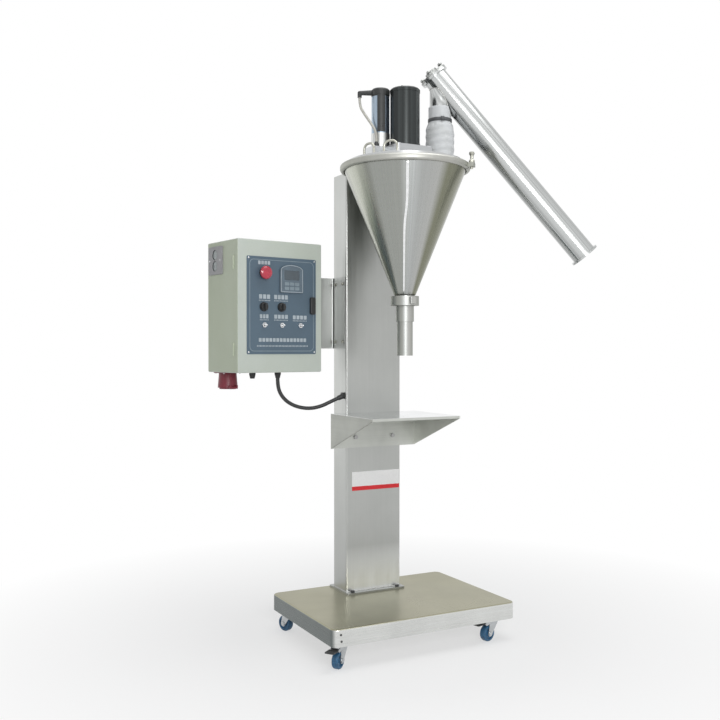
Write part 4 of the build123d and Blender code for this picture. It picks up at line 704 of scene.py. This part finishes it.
def screw_tree():
    """Pan-head screws with a hexagon socket, one on each point, that face along the point's aim."""
    tree = Tree("screw_heads", Head_Radius=0.003, Head_Height=0.002, Socket_Radius=0.0014)
    radius, height = tree.inputs["Head Radius"], tree.inputs["Head Height"]
    skirt = tree.add("GeometryNodeMeshCylinder", {
        "Vertices": 20, "Radius": radius, "Depth": tree.math("MULTIPLY", height, 1.2)})
    crown = tree.add("GeometryNodeMeshCone", {
        "Vertices": 20, "Radius Bottom": radius, "Radius Top": tree.math("MULTIPLY", radius, 0.72),
        "Depth": tree.math("MULTIPLY", height, 0.4)})
    crown = tree.add("GeometryNodeTransform", {
        "Geometry": crown, "Translation": tree.triple(z=tree.math("MULTIPLY", height, 0.6))})
    socket = tree.add("GeometryNodeMeshCylinder", {
        "Vertices": 6, "Radius": tree.inputs["Socket Radius"], "Depth": height})
    socket = tree.add("GeometryNodeTransform", {"Geometry": socket, "Translation": tree.triple(z=height)})
    whole = tree.group.nodes.new("GeometryNodeMeshBoolean")
    whole.operation = "UNION"
    tree.group.links.new(skirt, whole.inputs["Mesh 2"])
    tree.group.links.new(crown, whole.inputs["Mesh 2"])
    head = tree.group.nodes.new("GeometryNodeMeshBoolean")
    head.operation = "DIFFERENCE"
    tree.group.links.new(whole.outputs["Mesh"], head.inputs["Mesh 1"])
    tree.group.links.new(socket, head.inputs["Mesh 2"])
    aim = tree.group.nodes.new("GeometryNodeInputNamedAttribute")
    aim.data_type = "FLOAT_VECTOR"
    aim.inputs["Name"].default_value = "aim"
    turn = tree.add("FunctionNodeAlignRotationToVector", {"Vector": aim.outputs["Attribute"]}, axis="Z")
    placed = tree.add("GeometryNodeInstanceOnPoints", {
        "Points": tree.inputs["Mesh"], "Instance": head.outputs["Mesh"], "Rotation": turn})
    return tree.end(placed)


def bead_tree():
    """A round bead along the mesh's edges, whose ripples are a weld's; with none it is a smooth cord."""
    tree = Tree("bead", Radius=0.0015, Ripple=0.2, Pitch=0.003, Sides=10)
    curve = tree.add("GeometryNodeMeshToCurve", {"Mesh": tree.inputs["Mesh"]})
    curve = tree.add("GeometryNodeResampleCurve", {
        "Curve": curve, "Length": tree.math("DIVIDE", tree.inputs["Pitch"], 4.0)}, mode="LENGTH")
    along = tree.group.nodes.new("GeometryNodeSplineParameter").outputs["Length"]
    phase = tree.math("MULTIPLY", tree.math("DIVIDE", along, tree.inputs["Pitch"]), math.tau)
    swell = tree.math("ADD", tree.math("MULTIPLY", tree.math("SINE", phase), tree.inputs["Ripple"]), 1.0)
    ring = tree.add("GeometryNodeCurvePrimitiveCircle", {
        "Resolution": tree.inputs["Sides"], "Radius": tree.inputs["Radius"]})
    tube = tree.add("GeometryNodeCurveToMesh", {
        "Curve": curve, "Profile Curve": ring, "Scale": swell, "Fill Caps": True})
    return tree.end(tree.add("GeometryNodeSetShadeSmooth", {"Geometry": tube}))


def stitch_tree():
    """Short thread stitches along the mesh's edges."""
    tree = Tree("stitches", Pitch=0.004, Thread=0.0005, Reach=0.0013)
    curve = tree.add("GeometryNodeMeshToCurve", {"Mesh": tree.inputs["Mesh"]})
    points = tree.group.nodes.new("GeometryNodeCurveToPoints")
    points.mode = "LENGTH"
    tree.group.links.new(curve, points.inputs["Curve"])
    tree.group.links.new(tree.inputs["Pitch"], points.inputs["Length"])
    stitch = tree.add("GeometryNodeMeshUVSphere", {
        "Segments": 8, "Rings": 6, "Radius": tree.inputs["Thread"]})
    longer = tree.math("DIVIDE", tree.inputs["Reach"], tree.inputs["Thread"])
    placed = tree.add("GeometryNodeInstanceOnPoints", {
        "Points": points.outputs["Points"], "Instance": stitch, "Rotation": points.outputs["Rotation"],
        "Scale": tree.triple(1.0, 1.0, longer)})
    return tree.end(tree.add("GeometryNodeSetShadeSmooth", {"Geometry": placed}))


SCREWS = screw_tree()
BEAD = bead_tree()
STITCHES = stitch_tree()


def points_mesh(name, places, aim):
    """Loose points that all carry one aim."""
    mesh = bpy.data.meshes.new(name)
    mesh.from_pydata([tuple(place) for place in places], [], [])
    aims = mesh.attributes.new("aim", "FLOAT_VECTOR", "POINT")
    aims.data.foreach_set("vector", [*aim] * len(places))
    return mesh


def screws(name, places, aim, radius, height, material, body="frame", slot="plated_fittings"):
    """A set of like screws whose heads face one way."""
    mesh = baked(points_mesh(name, places, aim), SCREWS, {
        "Head Radius": radius, "Head Height": height, "Socket Radius": radius * 0.48,
        "Material": material}, name)
    return piece_from(mesh, name, body, slot)


def path_mesh(name, *paths, closed=True):
    """Edges along one or more paths."""
    corners, edges = [], []
    for path in paths:
        first = len(corners)
        corners += [tuple(point) for point in path]
        edges += [(i, i + 1) for i in range(first, len(corners) - 1)]
        if closed:
            edges.append((len(corners) - 1, first))
    mesh = bpy.data.meshes.new(name)
    mesh.from_pydata(corners, edges, [])
    return mesh


def bead(name, paths, radius, ripple, pitch, material, body="frame", slot="stainless"):
    """A bead along closed paths, with ripples at a pitch."""
    mesh = baked(path_mesh(name, *paths), BEAD, {
        "Radius": radius, "Ripple": ripple, "Pitch": pitch, "Material": material}, name)
    return piece_from(mesh, name, body, slot)


def ring_path(centre, radius, z, count, start=0.0):
    """Points of a level ring."""
    angles = np.linspace(start, start + math.tau, count, endpoint=False)
    return [(centre.x + radius * math.cos(a), centre.y + radius * math.sin(a), z) for a in angles]


def rounded_outline(low, high, radius, steps=6):
    """Corners of a rounded rectangle in two axes."""
    outline = []
    middles = (
        (high[0] - radius, high[1] - radius, 0.0),
        (low[0] + radius, high[1] - radius, 90.0),
        (low[0] + radius, low[1] + radius, 180.0),
        (high[0] - radius, low[1] + radius, 270.0),
    )
    for x, y, start in middles:
        for step in range(steps + 1):
            angle = math.radians(start + 90.0 * step / steps)
            outline.append((x + radius * math.cos(angle), y + radius * math.sin(angle)))
    return outline


def raised_patch(shape, outline, place, height):
    """Adds a low prism with a closed outline in a place's X and Z, raised towards its -Y."""
    lower = [shape.verts.new(place @ Vector((x, 0.0, z))) for x, z in outline]
    upper = [shape.verts.new(place @ Vector((x, -height, z))) for x, z in outline]
    shape.faces.new(upper)
    shape.faces.new(lower[::-1])
    count = len(outline)
    for i in range(count):
        after = (i + 1) % count
        shape.faces.new((lower[i], lower[after], upper[after], upper[i]))


def flat_frame(shape, outer, inner, place, height):
    """Adds a flat frame between two outlines with as many corners, as thick as height."""
    loops = [[shape.verts.new(place @ Vector((x, depth, z))) for x, z in outline]
             for outline, depth in ((outer, 0.0), (outer, -height), (inner, -height), (inner, 0.0))]
    count = len(outer)
    for near, far in zip(loops, loops[1:] + loops[:1]):
        for i in range(count):
            after = (i + 1) % count
            shape.faces.new((near[i], near[after], far[after], far[i]))


# Cables on one smooth curve each, through the route of the model's source
def cable_curve(name, route, diameter, material, node):
    """A round cable that stands in for its node."""
    curve = bpy.data.curves.new(name, "CURVE")
    curve.dimensions = "3D"
    curve.bevel_depth = diameter / 2
    curve.bevel_resolution = 6
    curve.resolution_u = 16
    curve.use_fill_caps = True
    spline = curve.splines.new("NURBS")
    spline.points.add(len(route) - 1)
    for point, place in zip(spline.points, route):
        point.co = (*place, 1.0)
    spline.order_u = 3
    spline.use_endpoint_u = True
    curve.materials.append(material)
    cable = bpy.data.objects.new(name, curve)
    bpy.context.scene.collection.objects.link(cable)
    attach(cable, "frame")
    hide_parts(node)
    return cable


control_route = [
    (-0.310, 0.170, 0.8145), (-0.310, 0.170, 0.788), (-0.299, 0.168, 0.759), (-0.276, 0.163, 0.735),
    (-0.242, 0.156, 0.720), (-0.205, 0.147, 0.716), (-0.170, 0.138, 0.724), (-0.142, 0.131, 0.738),
    (-0.119, 0.126, 0.748),
]
motor_route = [
    (-0.11782, -0.02139, 1.676), (-0.11782, -0.02139, 1.651), (-0.110, -0.036, 1.625),
    (-0.102, -0.056, 1.598), (-0.095, -0.073, 1.574), (-0.092, -0.081, 1.553), (-0.092, -0.081, 1.532),
]
control_cable = cable_curve("control_lead", control_route, CONTROL_CABLE_DIAMETER, black_jacket,
                            "control_cable")
motor_cable = cable_curve("motor_lead", motor_route, MOTOR_CABLE_DIAMETER, grey_jacket,
                          "motor_cable")


# Canvas sleeve: a cut tube, gathered under its tie and let sag as cloth
def feeder_clearance(point):
    """Distance of a point from the feed tube's axis."""
    offset = point - FEEDER_START
    return (offset - FEEDER_WAY * offset.dot(FEEDER_WAY)).length


def round_spout(radius, angle, height):
    """A place at a radius and heading from the spout's axis."""
    return SPOUT_AXIS + Vector((radius * math.cos(angle), radius * math.sin(angle), height))


def sleeve_edge(angle):
    """Height of the cuff's upper edge, which dips under the feed tube."""
    height = SLEEVE_TOP
    while height > SLEEVE_TIE + 0.012:
        if feeder_clearance(round_spout(0.036, angle, height)) > FEEDER_RADIUS + 0.003:
            return height
        height -= 0.001
    return height


def sleeve_radius(height):
    """Radius of the hanging sleeve before it sags."""
    profile = (
        (SLEEVE_FOOT, 0.0396), (STUB_TOP, 0.041), (STUB_TOP + 0.022, 0.0432), (SLEEVE_TIE - 0.03, 0.0432),
        (SLEEVE_TIE - 0.016, 0.0405), (SLEEVE_TIE - 0.006, 0.0347), (SLEEVE_TOP, 0.0348),
    )
    return float(np.interp(height, *zip(*profile)))


def canvas_sleeve(columns=112, rows=72):
    """The hung sleeve and the paths of its seams."""
    edges = [sleeve_edge(math.tau * i / columns) for i in range(columns)]
    starts, flat = [], []
    for row in range(rows + 1):
        share = row / rows
        for column in range(columns):
            angle = math.tau * column / columns
            height = SLEEVE_FOOT + share * (edges[column] - SLEEVE_FOOT)
            loose = math.exp(-((height - 0.5 * (STUB_TOP + SLEEVE_TIE)) / 0.05) ** 4)
            sway = 1.3 * math.sin(angle) + 0.8 * math.sin(2 * angle + 1.0)
            crease = math.sin(math.tau * height / 0.023 + sway)
            gather = 0.0003 * math.exp(-((height - SLEEVE_TIE) / 0.016) ** 2) * math.sin(15 * angle)
            radius = sleeve_radius(height)
            starts.append(round_spout(radius + 0.0009 * loose * crease + gather, angle, height))
            spare_height = SLEEVE_FOOT + (height - SLEEVE_FOOT) * 1.06
            flat.append(round_spout(0.99 * radius, angle, spare_height))
    faces = []
    for row in range(rows):
        for column in range(columns):
            after = (column + 1) % columns
            low, high = row * columns, (row + 1) * columns
            faces.append((low + column, low + after, high + after, high + column))
    mesh = bpy.data.meshes.new("canvas_sleeve")
    mesh.from_pydata([tuple(point) for point in starts], [], faces)
    sleeve = bpy.data.objects.new("canvas_sleeve", mesh)
    bpy.context.scene.collection.objects.link(sleeve)
    hang_cloth(sleeve, flat)
    keep_clear(sleeve)
    wrap_map(sleeve.data, columns, rows)
    seams = sleeve_seams(sleeve.data, columns, rows)
    return sleeve, seams


def sleeve_seams(mesh, columns, rows):
    """Paths on the cloth's outside: the hems of foot and cuff, and the seam that closes the tube."""
    def outside(row, column):
        place = mesh.vertices[row * columns + column % columns].co
        out = Vector((place.x - SPOUT_AXIS.x, place.y - SPOUT_AXIS.y, 0.0)).normalized()
        return place + out * 0.0007

    hems = [[outside(row, column) for column in range(columns + 1)] for row in (2, rows - 3)]
    seam = [outside(row, round(columns * 0.53)) for row in range(3, rows - 3)]
    return hems + [seam]


def hang_cloth(sleeve, flat, frames=26):
    """Lets the cut cloth sag between its cuff, its tie and its foot."""
    held = sleeve.vertex_groups.new(name="held")
    for vertex in sleeve.data.vertices:
        z = vertex.co.z
        if z < SLEEVE_FOOT + 0.018 or z > SLEEVE_TIE - 0.008:
            held.add([vertex.index], 1.0, "REPLACE")
    sleeve.shape_key_add(name="Basis")
    cut = sleeve.shape_key_add(name="cut")
    for point, place in zip(cut.data, flat):
        point.co = place
    cloth = sleeve.modifiers.new("cloth", "CLOTH")
    settings = cloth.settings
    settings.quality = 6
    settings.mass = 0.02
    settings.tension_stiffness = 25.0
    settings.compression_stiffness = 25.0
    settings.shear_stiffness = 8.0
    settings.bending_stiffness = 0.6
    settings.vertex_group_mass = "held"
    settings.rest_shape_key = cut
    cloth.collision_settings.use_collision = False
    cloth.point_cache.frame_start = 1
    cloth.point_cache.frame_end = frames
    scene = bpy.context.scene
    for step in range(1, frames + 1):
        scene.frame_set(step)
    depsgraph = bpy.context.evaluated_depsgraph_get()
    hung = bpy.data.meshes.new_from_object(sleeve.evaluated_get(depsgraph), depsgraph=depsgraph)
    sleeve.modifiers.clear()
    sleeve.data = hung
    scene.frame_set(1)


def keep_clear(sleeve):
    """Keeps the cloth outside the spout and the lid's stub, and off the feed tube."""
    for vertex in sleeve.data.vertices:
        offset = vertex.co - SPOUT_AXIS
        z = vertex.co.z
        least = CLOTH_AT_SPOUT[0] if z > SPOUT_BOTTOM - 0.003 else CLOTH_BETWEEN[0]
        least = CLOTH_AT_STUB[0] if z < STUB_TOP + 0.002 else least
        most = CLOTH_AT_SPOUT[1] if z > SLEEVE_TIE - 0.007 else CLOTH_BETWEEN[1]
        most = CLOTH_AT_STUB[1] if z < SLEEVE_FOOT + 0.022 else most
        radius = math.hypot(offset.x, offset.y)
        wanted = min(max(radius, least), most)
        vertex.co.x = SPOUT_AXIS.x + offset.x * wanted / radius
        vertex.co.y = SPOUT_AXIS.y + offset.y * wanted / radius


def wrap_map(mesh, columns, rows):
    """Map in metres, round the sleeve and up it, from the grid that the sleeve is made of."""
    layer = mesh.uv_layers.new(name="cloth")
    for polygon in mesh.polygons:
        row, column = divmod(polygon.index, columns)
        corners = ((column, row), (column + 1, row), (column + 1, row + 1), (column, row + 1))
        for loop, (across, up) in zip(polygon.loop_indices, corners):
            layer.data[loop].uv = (SLEEVE_CUT[0] * across / columns, SLEEVE_CUT[1] * up / rows)


sleeve, seam_paths = canvas_sleeve()
wall = sleeve.modifiers.new("wall", "SOLIDIFY")
wall.thickness = 0.0011
wall.offset = 0.0
sleeve.data.materials.clear()
sleeve.data.materials.append(canvas)
sleeve.data.shade_smooth()
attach(sleeve, "frame")
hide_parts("sleeve")


def sleeve_strap(shape, height, radius, buckle_heading, width=STRAP_WIDTH, steps=96):
    """A flat strap round the sleeve with a square buckle."""
    half = width / 2
    section = ((0.0, -half), (0.0012, -half + 0.001), (0.0012, half - 0.001), (0.0, half))
    rings = []
    for i in range(steps):
        angle = math.tau * i / steps
        skin = radius + 0.0003 * math.sin(7 * angle)
        rings.append([shape.verts.new(round_spout(skin + out, angle, height + up)) for out, up in section])
    for near, far in zip(rings, rings[1:] + rings[:1]):
        for j in range(4):
            shape.faces.new((near[j], far[j], far[(j + 1) % 4], near[(j + 1) % 4]))
    turn = Matrix.Translation(SPOUT_AXIS + Vector((0, 0, height))) @ Matrix.Rotation(buckle_heading, 4, "Z")
    buckle_size = Matrix.Diagonal((0.0034, 0.012, width * 1.25, 1.0))
    buckle = turn @ Matrix.Translation((radius + 0.0028, 0.0, 0.0)) @ buckle_size
    made = bmesh.ops.create_cube(shape, size=1.0, matrix=buckle)
    corners = [edge for edge in shape.edges if all(v in made["verts"] for v in edge.verts)]
    bmesh.ops.bevel(shape, geom=corners, offset=0.0007, segments=2, affect="EDGES")


straps = bmesh.new()
sleeve_strap(straps, SLEEVE_TIE, 0.0361, math.radians(250.0))
sleeve_strap(straps, SLEEVE_FOOT + 0.0135, 0.0411, math.radians(236.0))
sleeve_straps = piece_from_bmesh(straps, "sleeve_straps", "frame", "tie_band", strap)
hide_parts("sleeve_bands")
stitches = baked(path_mesh("sleeve_stitches", *seam_paths, closed=False), STITCHES, {
    "Pitch": 0.0042, "Thread": 0.00045, "Reach": 0.0014, "Material": thread}, "sleeve_stitches")
sleeve_stitches = piece_from(stitches, "sleeve_stitches", "frame", "canvas")

# Control panel: border line, plain marks, display and keys
film = BOX_PLACE @ Matrix.Translation((0.0, PANEL_FACE, 0.0))
border = bmesh.new()
flat_frame(border, rounded_outline((0.0395, 0.0645), (0.2695, 0.3415), 0.0145),
           rounded_outline((0.0415, 0.0665), (0.2675, 0.3395), 0.0125), film, 0.00015)
piece_from_bmesh(border, "panel_border", "door", "panel_blue", print_line, smooth=False)
captions = bmesh.new()


def caption(left, right, low, high, marks, fill=0.78):
    """A row of plain raised marks on the panel's film."""
    pitch = (right - left) / marks
    corner = min(0.0012, 0.3 * (high - low))
    for i in range(marks):
        start = left + (i + 0.5 - fill / 2) * pitch
        outline = rounded_outline((start, low), (start + fill * pitch, high), corner, 3)
        raised_patch(captions, outline, film, PRINT_HEIGHT)


# Left, right, low, high and count of each row
tall_marks = (
    (0.068, 0.112, 0.326, 0.337, 4), (0.071, 0.112, 0.223, 0.236, 3), (0.124, 0.175, 0.223, 0.236, 4),
    (0.074, 0.106, 0.164, 0.176, 3), (0.124, 0.175, 0.164, 0.176, 4), (0.191, 0.244, 0.163, 0.175, 4),
    (0.070, 0.242, 0.0935, 0.1045, 14),
)
low_marks = (
    (0.071, 0.112, 0.2165, 0.2195, 8), (0.124, 0.175, 0.2165, 0.2195, 10), (0.074, 0.106, 0.158, 0.161, 7),
    (0.124, 0.175, 0.158, 0.161, 10), (0.191, 0.244, 0.157, 0.160, 10), (0.064, 0.248, 0.0785, 0.083, 36),
)
for marks_row in tall_marks:
    caption(*marks_row)
for marks_row in low_marks:
    caption(*marks_row, fill=0.6)
piece_from_bmesh(captions, "panel_captions", "door", "panel_blue", print_pale, smooth=False)

meter_front = BOX_PLACE @ Matrix.Translation((0.185, PANEL_FACE - 0.007, 0.2865))
display = bmesh.new()
glass_place = meter_front @ Matrix.Translation((0.0, 0.0015, 0.01032))
raised_patch(display, rounded_outline((-0.0265, -0.0142), (0.0265, 0.0142), 0.002, 4), glass_place, 0.0009)
piece_from_bmesh(display, "meter_display", "door", "meter_case", glass_dark, smooth=False)
keys = bmesh.new()
key_width, key_height, key_rise = 0.0155, 0.0098, 0.0012
for row in range(2):
    for column in range(3):
        left = -0.0265 + column * 0.0183
        low = -0.0345 + row * 0.0135
        key = rounded_outline((left, low), (left + key_width, low + key_height), 0.0022, 4)
        raised_patch(keys, key, meter_front, key_rise)
piece_from_bmesh(keys, "meter_keys", "door", "meter_case", print_line, smooth=False)
half, foot, spring, rise = 0.0385, -0.0405, 0.0262, 0.0142
arch = [(-half, foot), (half, foot), (half, spring)]
arch += [(half * math.cos(a), spring + rise * math.sin(a)) for a in np.linspace(0.12, math.pi - 0.12, 18)]
arch += [(-half, spring)]
meter_edge = [meter_front @ Vector((u, -0.0001, w)) for u, w in arch]
bead("meter_outline", [meter_edge], 0.0009, 0.0, 0.008, print_pale, "door", "meter_case")

# Plain label on the column
label = bmesh.new()
label_place = Matrix.Translation((0.0, COLUMN_FRONT, 0.0))
label_outline = rounded_outline((-0.079, LABEL_FOOT), (0.096, LABEL_TOP), 0.0015, 3)
raised_patch(label, label_outline, label_place, 0.00025)
piece_from_bmesh(label, "column_label", "frame", "stainless", white_label, smooth=False)

# Small screws
UP, DOWN = Vector((0.0, 0.0, 1.0)), Vector((0.0, 0.0, -1.0))
LEFT, FORWARD = Vector((-1.0, 0.0, 0.0)), Vector((0.0, -1.0, 0.0))
BOX_TURN = BOX_PLACE.to_3x3()
panel_places = [BOX_PLACE @ Vector((PANEL_MIDDLE[0] + u, PANEL_FACE, PANEL_MIDDLE[1] + w))
                for u in (-0.1175, 0.1175) for w in (-0.141, 0.141)]
screws("panel_screws", panel_places, BOX_TURN @ FORWARD, 0.0027, 0.0016, chrome, "door")
outlet_places = [BOX_PLACE @ (OUTLET_MIDDLE + Vector((-0.0046, v, 0.0))) for v in (-0.033, 0.033)]
screws("outlet_screws", outlet_places, BOX_TURN @ LEFT, 0.0024, 0.0011, chrome)
socket_places = [BOX_PLACE @ Vector((0.047 + u, 0.147 + v, -0.003))
                 for u in (-0.0275, 0.0275) for v in (-0.0275, 0.0275)]
screws("socket_screws", socket_places, DOWN, 0.0028, 0.0018, chrome)
bracket_places = [Vector((-0.103, y, z)) for y in (0.124, 0.176) for z in (0.93, 1.116)]
screws("bracket_screws", bracket_places, LEFT, 0.0052, 0.0034, wire_steel)
case_corners = ((-0.052, -0.052), (0.052, -0.052), (0.052, 0.052), (-0.098, 0.066))
case_places = [FILLING_AXIS + Vector((x, y, CASE_TOP)) for x, y in case_corners]
screws("case_screws", case_places, UP, 0.0058, 0.0036, chrome)
motor_places = ring_path(FILLING_AXIS, 0.036, AUGER_MOTOR_TOP, 4, math.radians(45.0))
screws("motor_screws", motor_places, UP, 0.0036, 0.0022, bolt_black)
tray_places = [Vector((-0.284, TRAY_FRONT, 0.105)), Vector((-0.282, TRAY_FRONT, 0.086))]
screws("tray_screws", tray_places, FORWARD, 0.0032, 0.0018, bolt_black, slot="dark_bolt")
plate_places = [Vector((x + dx, y + dy, 0.0705)) for x, y in CASTERS
                for dx in (-0.023, 0.023) for dy in (-0.023, 0.023)]
screws("caster_screws", plate_places, DOWN, 0.0046, 0.0026, zinc, slot="zinc_steel")

# Weld beads
foot_outline = rounded_outline((-0.1005, 0.1045), (0.1005, 0.1975), 0.0055)
bead("foot_weld", [[(x, y, TRAY_TOP + 0.0055) for x, y in foot_outline]], 0.0017, 0.22, 0.0035, weld_bead)
saddle = []
for angle in np.linspace(0, math.tau, 90, endpoint=False):
    height = 1.620
    while feeder_clearance(round_spout(SPOUT_RADIUS, angle, height)) > FEEDER_RADIUS and height < 1.80:
        height += 0.0005
    saddle.append(round_spout(1.008 * SPOUT_RADIUS, angle, height))
bead("spout_weld", [saddle], 0.0013, 0.2, 0.003, weld_bead)
feet = []
for heading in (197.0, 224.0):
    turn = Matrix.Rotation(math.radians(heading), 3, "Z")
    for side in (-0.02, 0.02):
        spot = FILLING_AXIS + turn @ Vector((0.156, side, 0.0))
        feet.append(ring_path(spot, 0.0038, LID_TOP + 0.0006, 24))
bead("handle_welds", feet, 0.0012, 0.2, 0.0025, weld_bead)

# Dressed seam of the rolled cone, from its neck to its rim, set to face the camera and plated bright so that
# it is also a painted highlight down the cone's front
seam_highlight_strip = bmesh.new()
seam_heading = math.radians(-119.5)
seam_out = Vector((math.cos(seam_heading), math.sin(seam_heading), 0.0))
seam_side = Vector((-seam_out.y, seam_out.x, 0.0))
ribs = []
for share in np.linspace(0.0, 1.02, 24):
    radius, height = (neck + share * (rim - neck) for neck, rim in zip(SEAM_NECK, SEAM_RIM))
    half = 0.0028 + 0.0024 * share
    middle = 0.004 * math.tanh(12 * (share - 0.62))
    level = FILLING_AXIS + Vector((0, 0, height))
    rib = []
    for across, lift in ((-1.0, -0.0004), (-0.75, 0.0004), (0.75, 0.0004), (1.0, -0.0004)):
        place = level + seam_out * (radius + lift) + seam_side * (middle + across * half)
        rib.append(seam_highlight_strip.verts.new(place))
    ribs.append(rib)
for near, far in zip(ribs, ribs[1:]):
    for i in range(4):
        seam_highlight_strip.faces.new((near[i], near[(i + 1) % 4], far[(i + 1) % 4], far[i]))
seam_highlight_strip.faces.new(ribs[0])
seam_highlight_strip.faces.new(ribs[-1])
piece_from_bmesh(seam_highlight_strip, "cone_seam_highlight", "frame", "stainless", seam_and_highlight)

# Painted reflection: a dark band round the front of the agitator's motor, where its bright casing reflects
# the black auger motor
reflection_band = bmesh.new()
reflection_heights = (GEARHEAD_TOP + 0.003, BLACK_CAP_FROM + 0.0015)
columns = []
for angle in np.radians(np.linspace(-140.0, -88.0, 14)):
    out = Vector((math.cos(angle), math.sin(angle), 0.0))
    columns.append([reflection_band.verts.new(GEAR_MOTOR_AXIS + out * reach + Vector((0, 0, z)))
                    for reach in (GEAR_MOTOR_RADIUS, GEAR_MOTOR_RADIUS + 0.0003) for z in reflection_heights])
for near, far in zip(columns, columns[1:]):
    for i, j in ((0, 1), (1, 3), (3, 2), (2, 0)):
        reflection_band.faces.new((near[i], near[j], far[j], far[i]))
for column in (columns[0], columns[-1]):
    reflection_band.faces.new((column[0], column[1], column[3], column[2]))
piece_from_bmesh(reflection_band, "motor_reflection_band", "frame", "black_plastic", painted_motor_reflection, smooth=False)


# Studio: floor, light and the photograph's camera
def rays_seen(tree):
    """1 for rays that look at the studio, straight or by a mirror or glass, and 0 for its light."""
    path = tree.nodes.new("ShaderNodeLightPath")
    seen = path.outputs["Is Camera Ray"]
    for ray in ("Is Glossy Ray", "Is Transmission Ray"):
        either = tree.nodes.new("ShaderNodeMath")
        either.operation = "MAXIMUM"
        tree.links.new(seen, either.inputs[0])
        tree.links.new(path.outputs[ray], either.inputs[1])
        seen = either.outputs[0]
    return seen


def white_floor():
    """A wide floor that goes over to plain white away from the machine."""
    floor = bmesh.new()
    bmesh.ops.create_circle(floor, cap_ends=True, segments=96, radius=14.0)
    mesh = bpy.data.meshes.new("floor")
    floor.to_mesh(mesh)
    floor.free()
    finish = Finish("floor_pale", (0.9, 0.9, 0.9), 0.9)
    far = finish.spread(finish.vector("LENGTH", finish.place(), output="Value"), 0.55, 1.0, 0.5, 1.6)
    glow = finish.add("ShaderNodeEmission")
    mixed = finish.add("ShaderNodeMixShader")
    finish.join(finish.sum(far, rays_seen(finish.tree), "MULTIPLY"), mixed.inputs["Fac"])
    finish.join(finish.shader.outputs["BSDF"], mixed.inputs[1])
    finish.join(glow.outputs["Emission"], mixed.inputs[2])
    finish.join(mixed.outputs["Shader"], finish.tree.nodes["Material Output"].inputs["Surface"])
    mesh.materials.append(finish.material)
    plane = bpy.data.objects.new("floor", mesh)
    bpy.context.scene.collection.objects.link(plane)
    plane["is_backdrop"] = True


def softbox(name, place, target, size, power):
    """A round white lamp that faces a target and isn't seen itself."""
    light = bpy.data.lights.new(name, "AREA")
    light.shape = "DISK"
    light.size = size
    light.energy = power
    lamp = bpy.data.objects.new(name, light)
    bpy.context.scene.collection.objects.link(lamp)
    lamp.location = place
    lamp.rotation_euler = (Vector(target) - Vector(place)).to_track_quat("-Z", "Y").to_euler()
    lamp.visible_camera = False


def studio_world():
    """A dim, even room light before a plain white ground."""
    world = bpy.data.worlds.new("studio")
    bpy.context.scene.world = world
    world.use_nodes = True
    tree = world.node_tree
    room = tree.nodes["Background"]
    room.inputs["Color"].default_value = (0.97, 0.98, 1.0, 1.0)
    room.inputs["Strength"].default_value = 0.36
    white = tree.nodes.new("ShaderNodeBackground")
    white.inputs["Color"].default_value = (1.0, 1.0, 1.0, 1.0)
    mixed = tree.nodes.new("ShaderNodeMixShader")
    tree.links.new(rays_seen(tree), mixed.inputs["Fac"])
    tree.links.new(room.outputs["Background"], mixed.inputs[1])
    tree.links.new(white.outputs["Background"], mixed.inputs[2])
    tree.links.new(mixed.outputs["Shader"], tree.nodes["World Output"].inputs["Surface"])


white_floor()
studio_world()
softbox("front_lamp", (-1.1, -3.1, 1.5), (0.0, 0.0, 1.0), 1.1, 40.0)
softbox("top_lamp", (0.3, -0.6, 3.4), (0.0, 0.0, 0.8), 2.4, 34.0)
softbox("back_lamp", (-1.5, 2.6, 1.3), (-0.1, 0.1, 0.9), 2.4, 6.0)

view = bpy.data.cameras.new("photo_view")
view.lens = 45.59
view.sensor_width = 36.0
camera = bpy.data.objects.new("photo_view", view)
bpy.context.scene.collection.objects.link(camera)
camera.location = (-1.4223, -2.5011, 0.9032)
camera.rotation_euler = (math.radians(89.37), 0.0, math.radians(-27.77))
bpy.context.scene.camera = camera
bpy.context.scene.view_settings.view_transform = "Standard"

low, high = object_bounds()
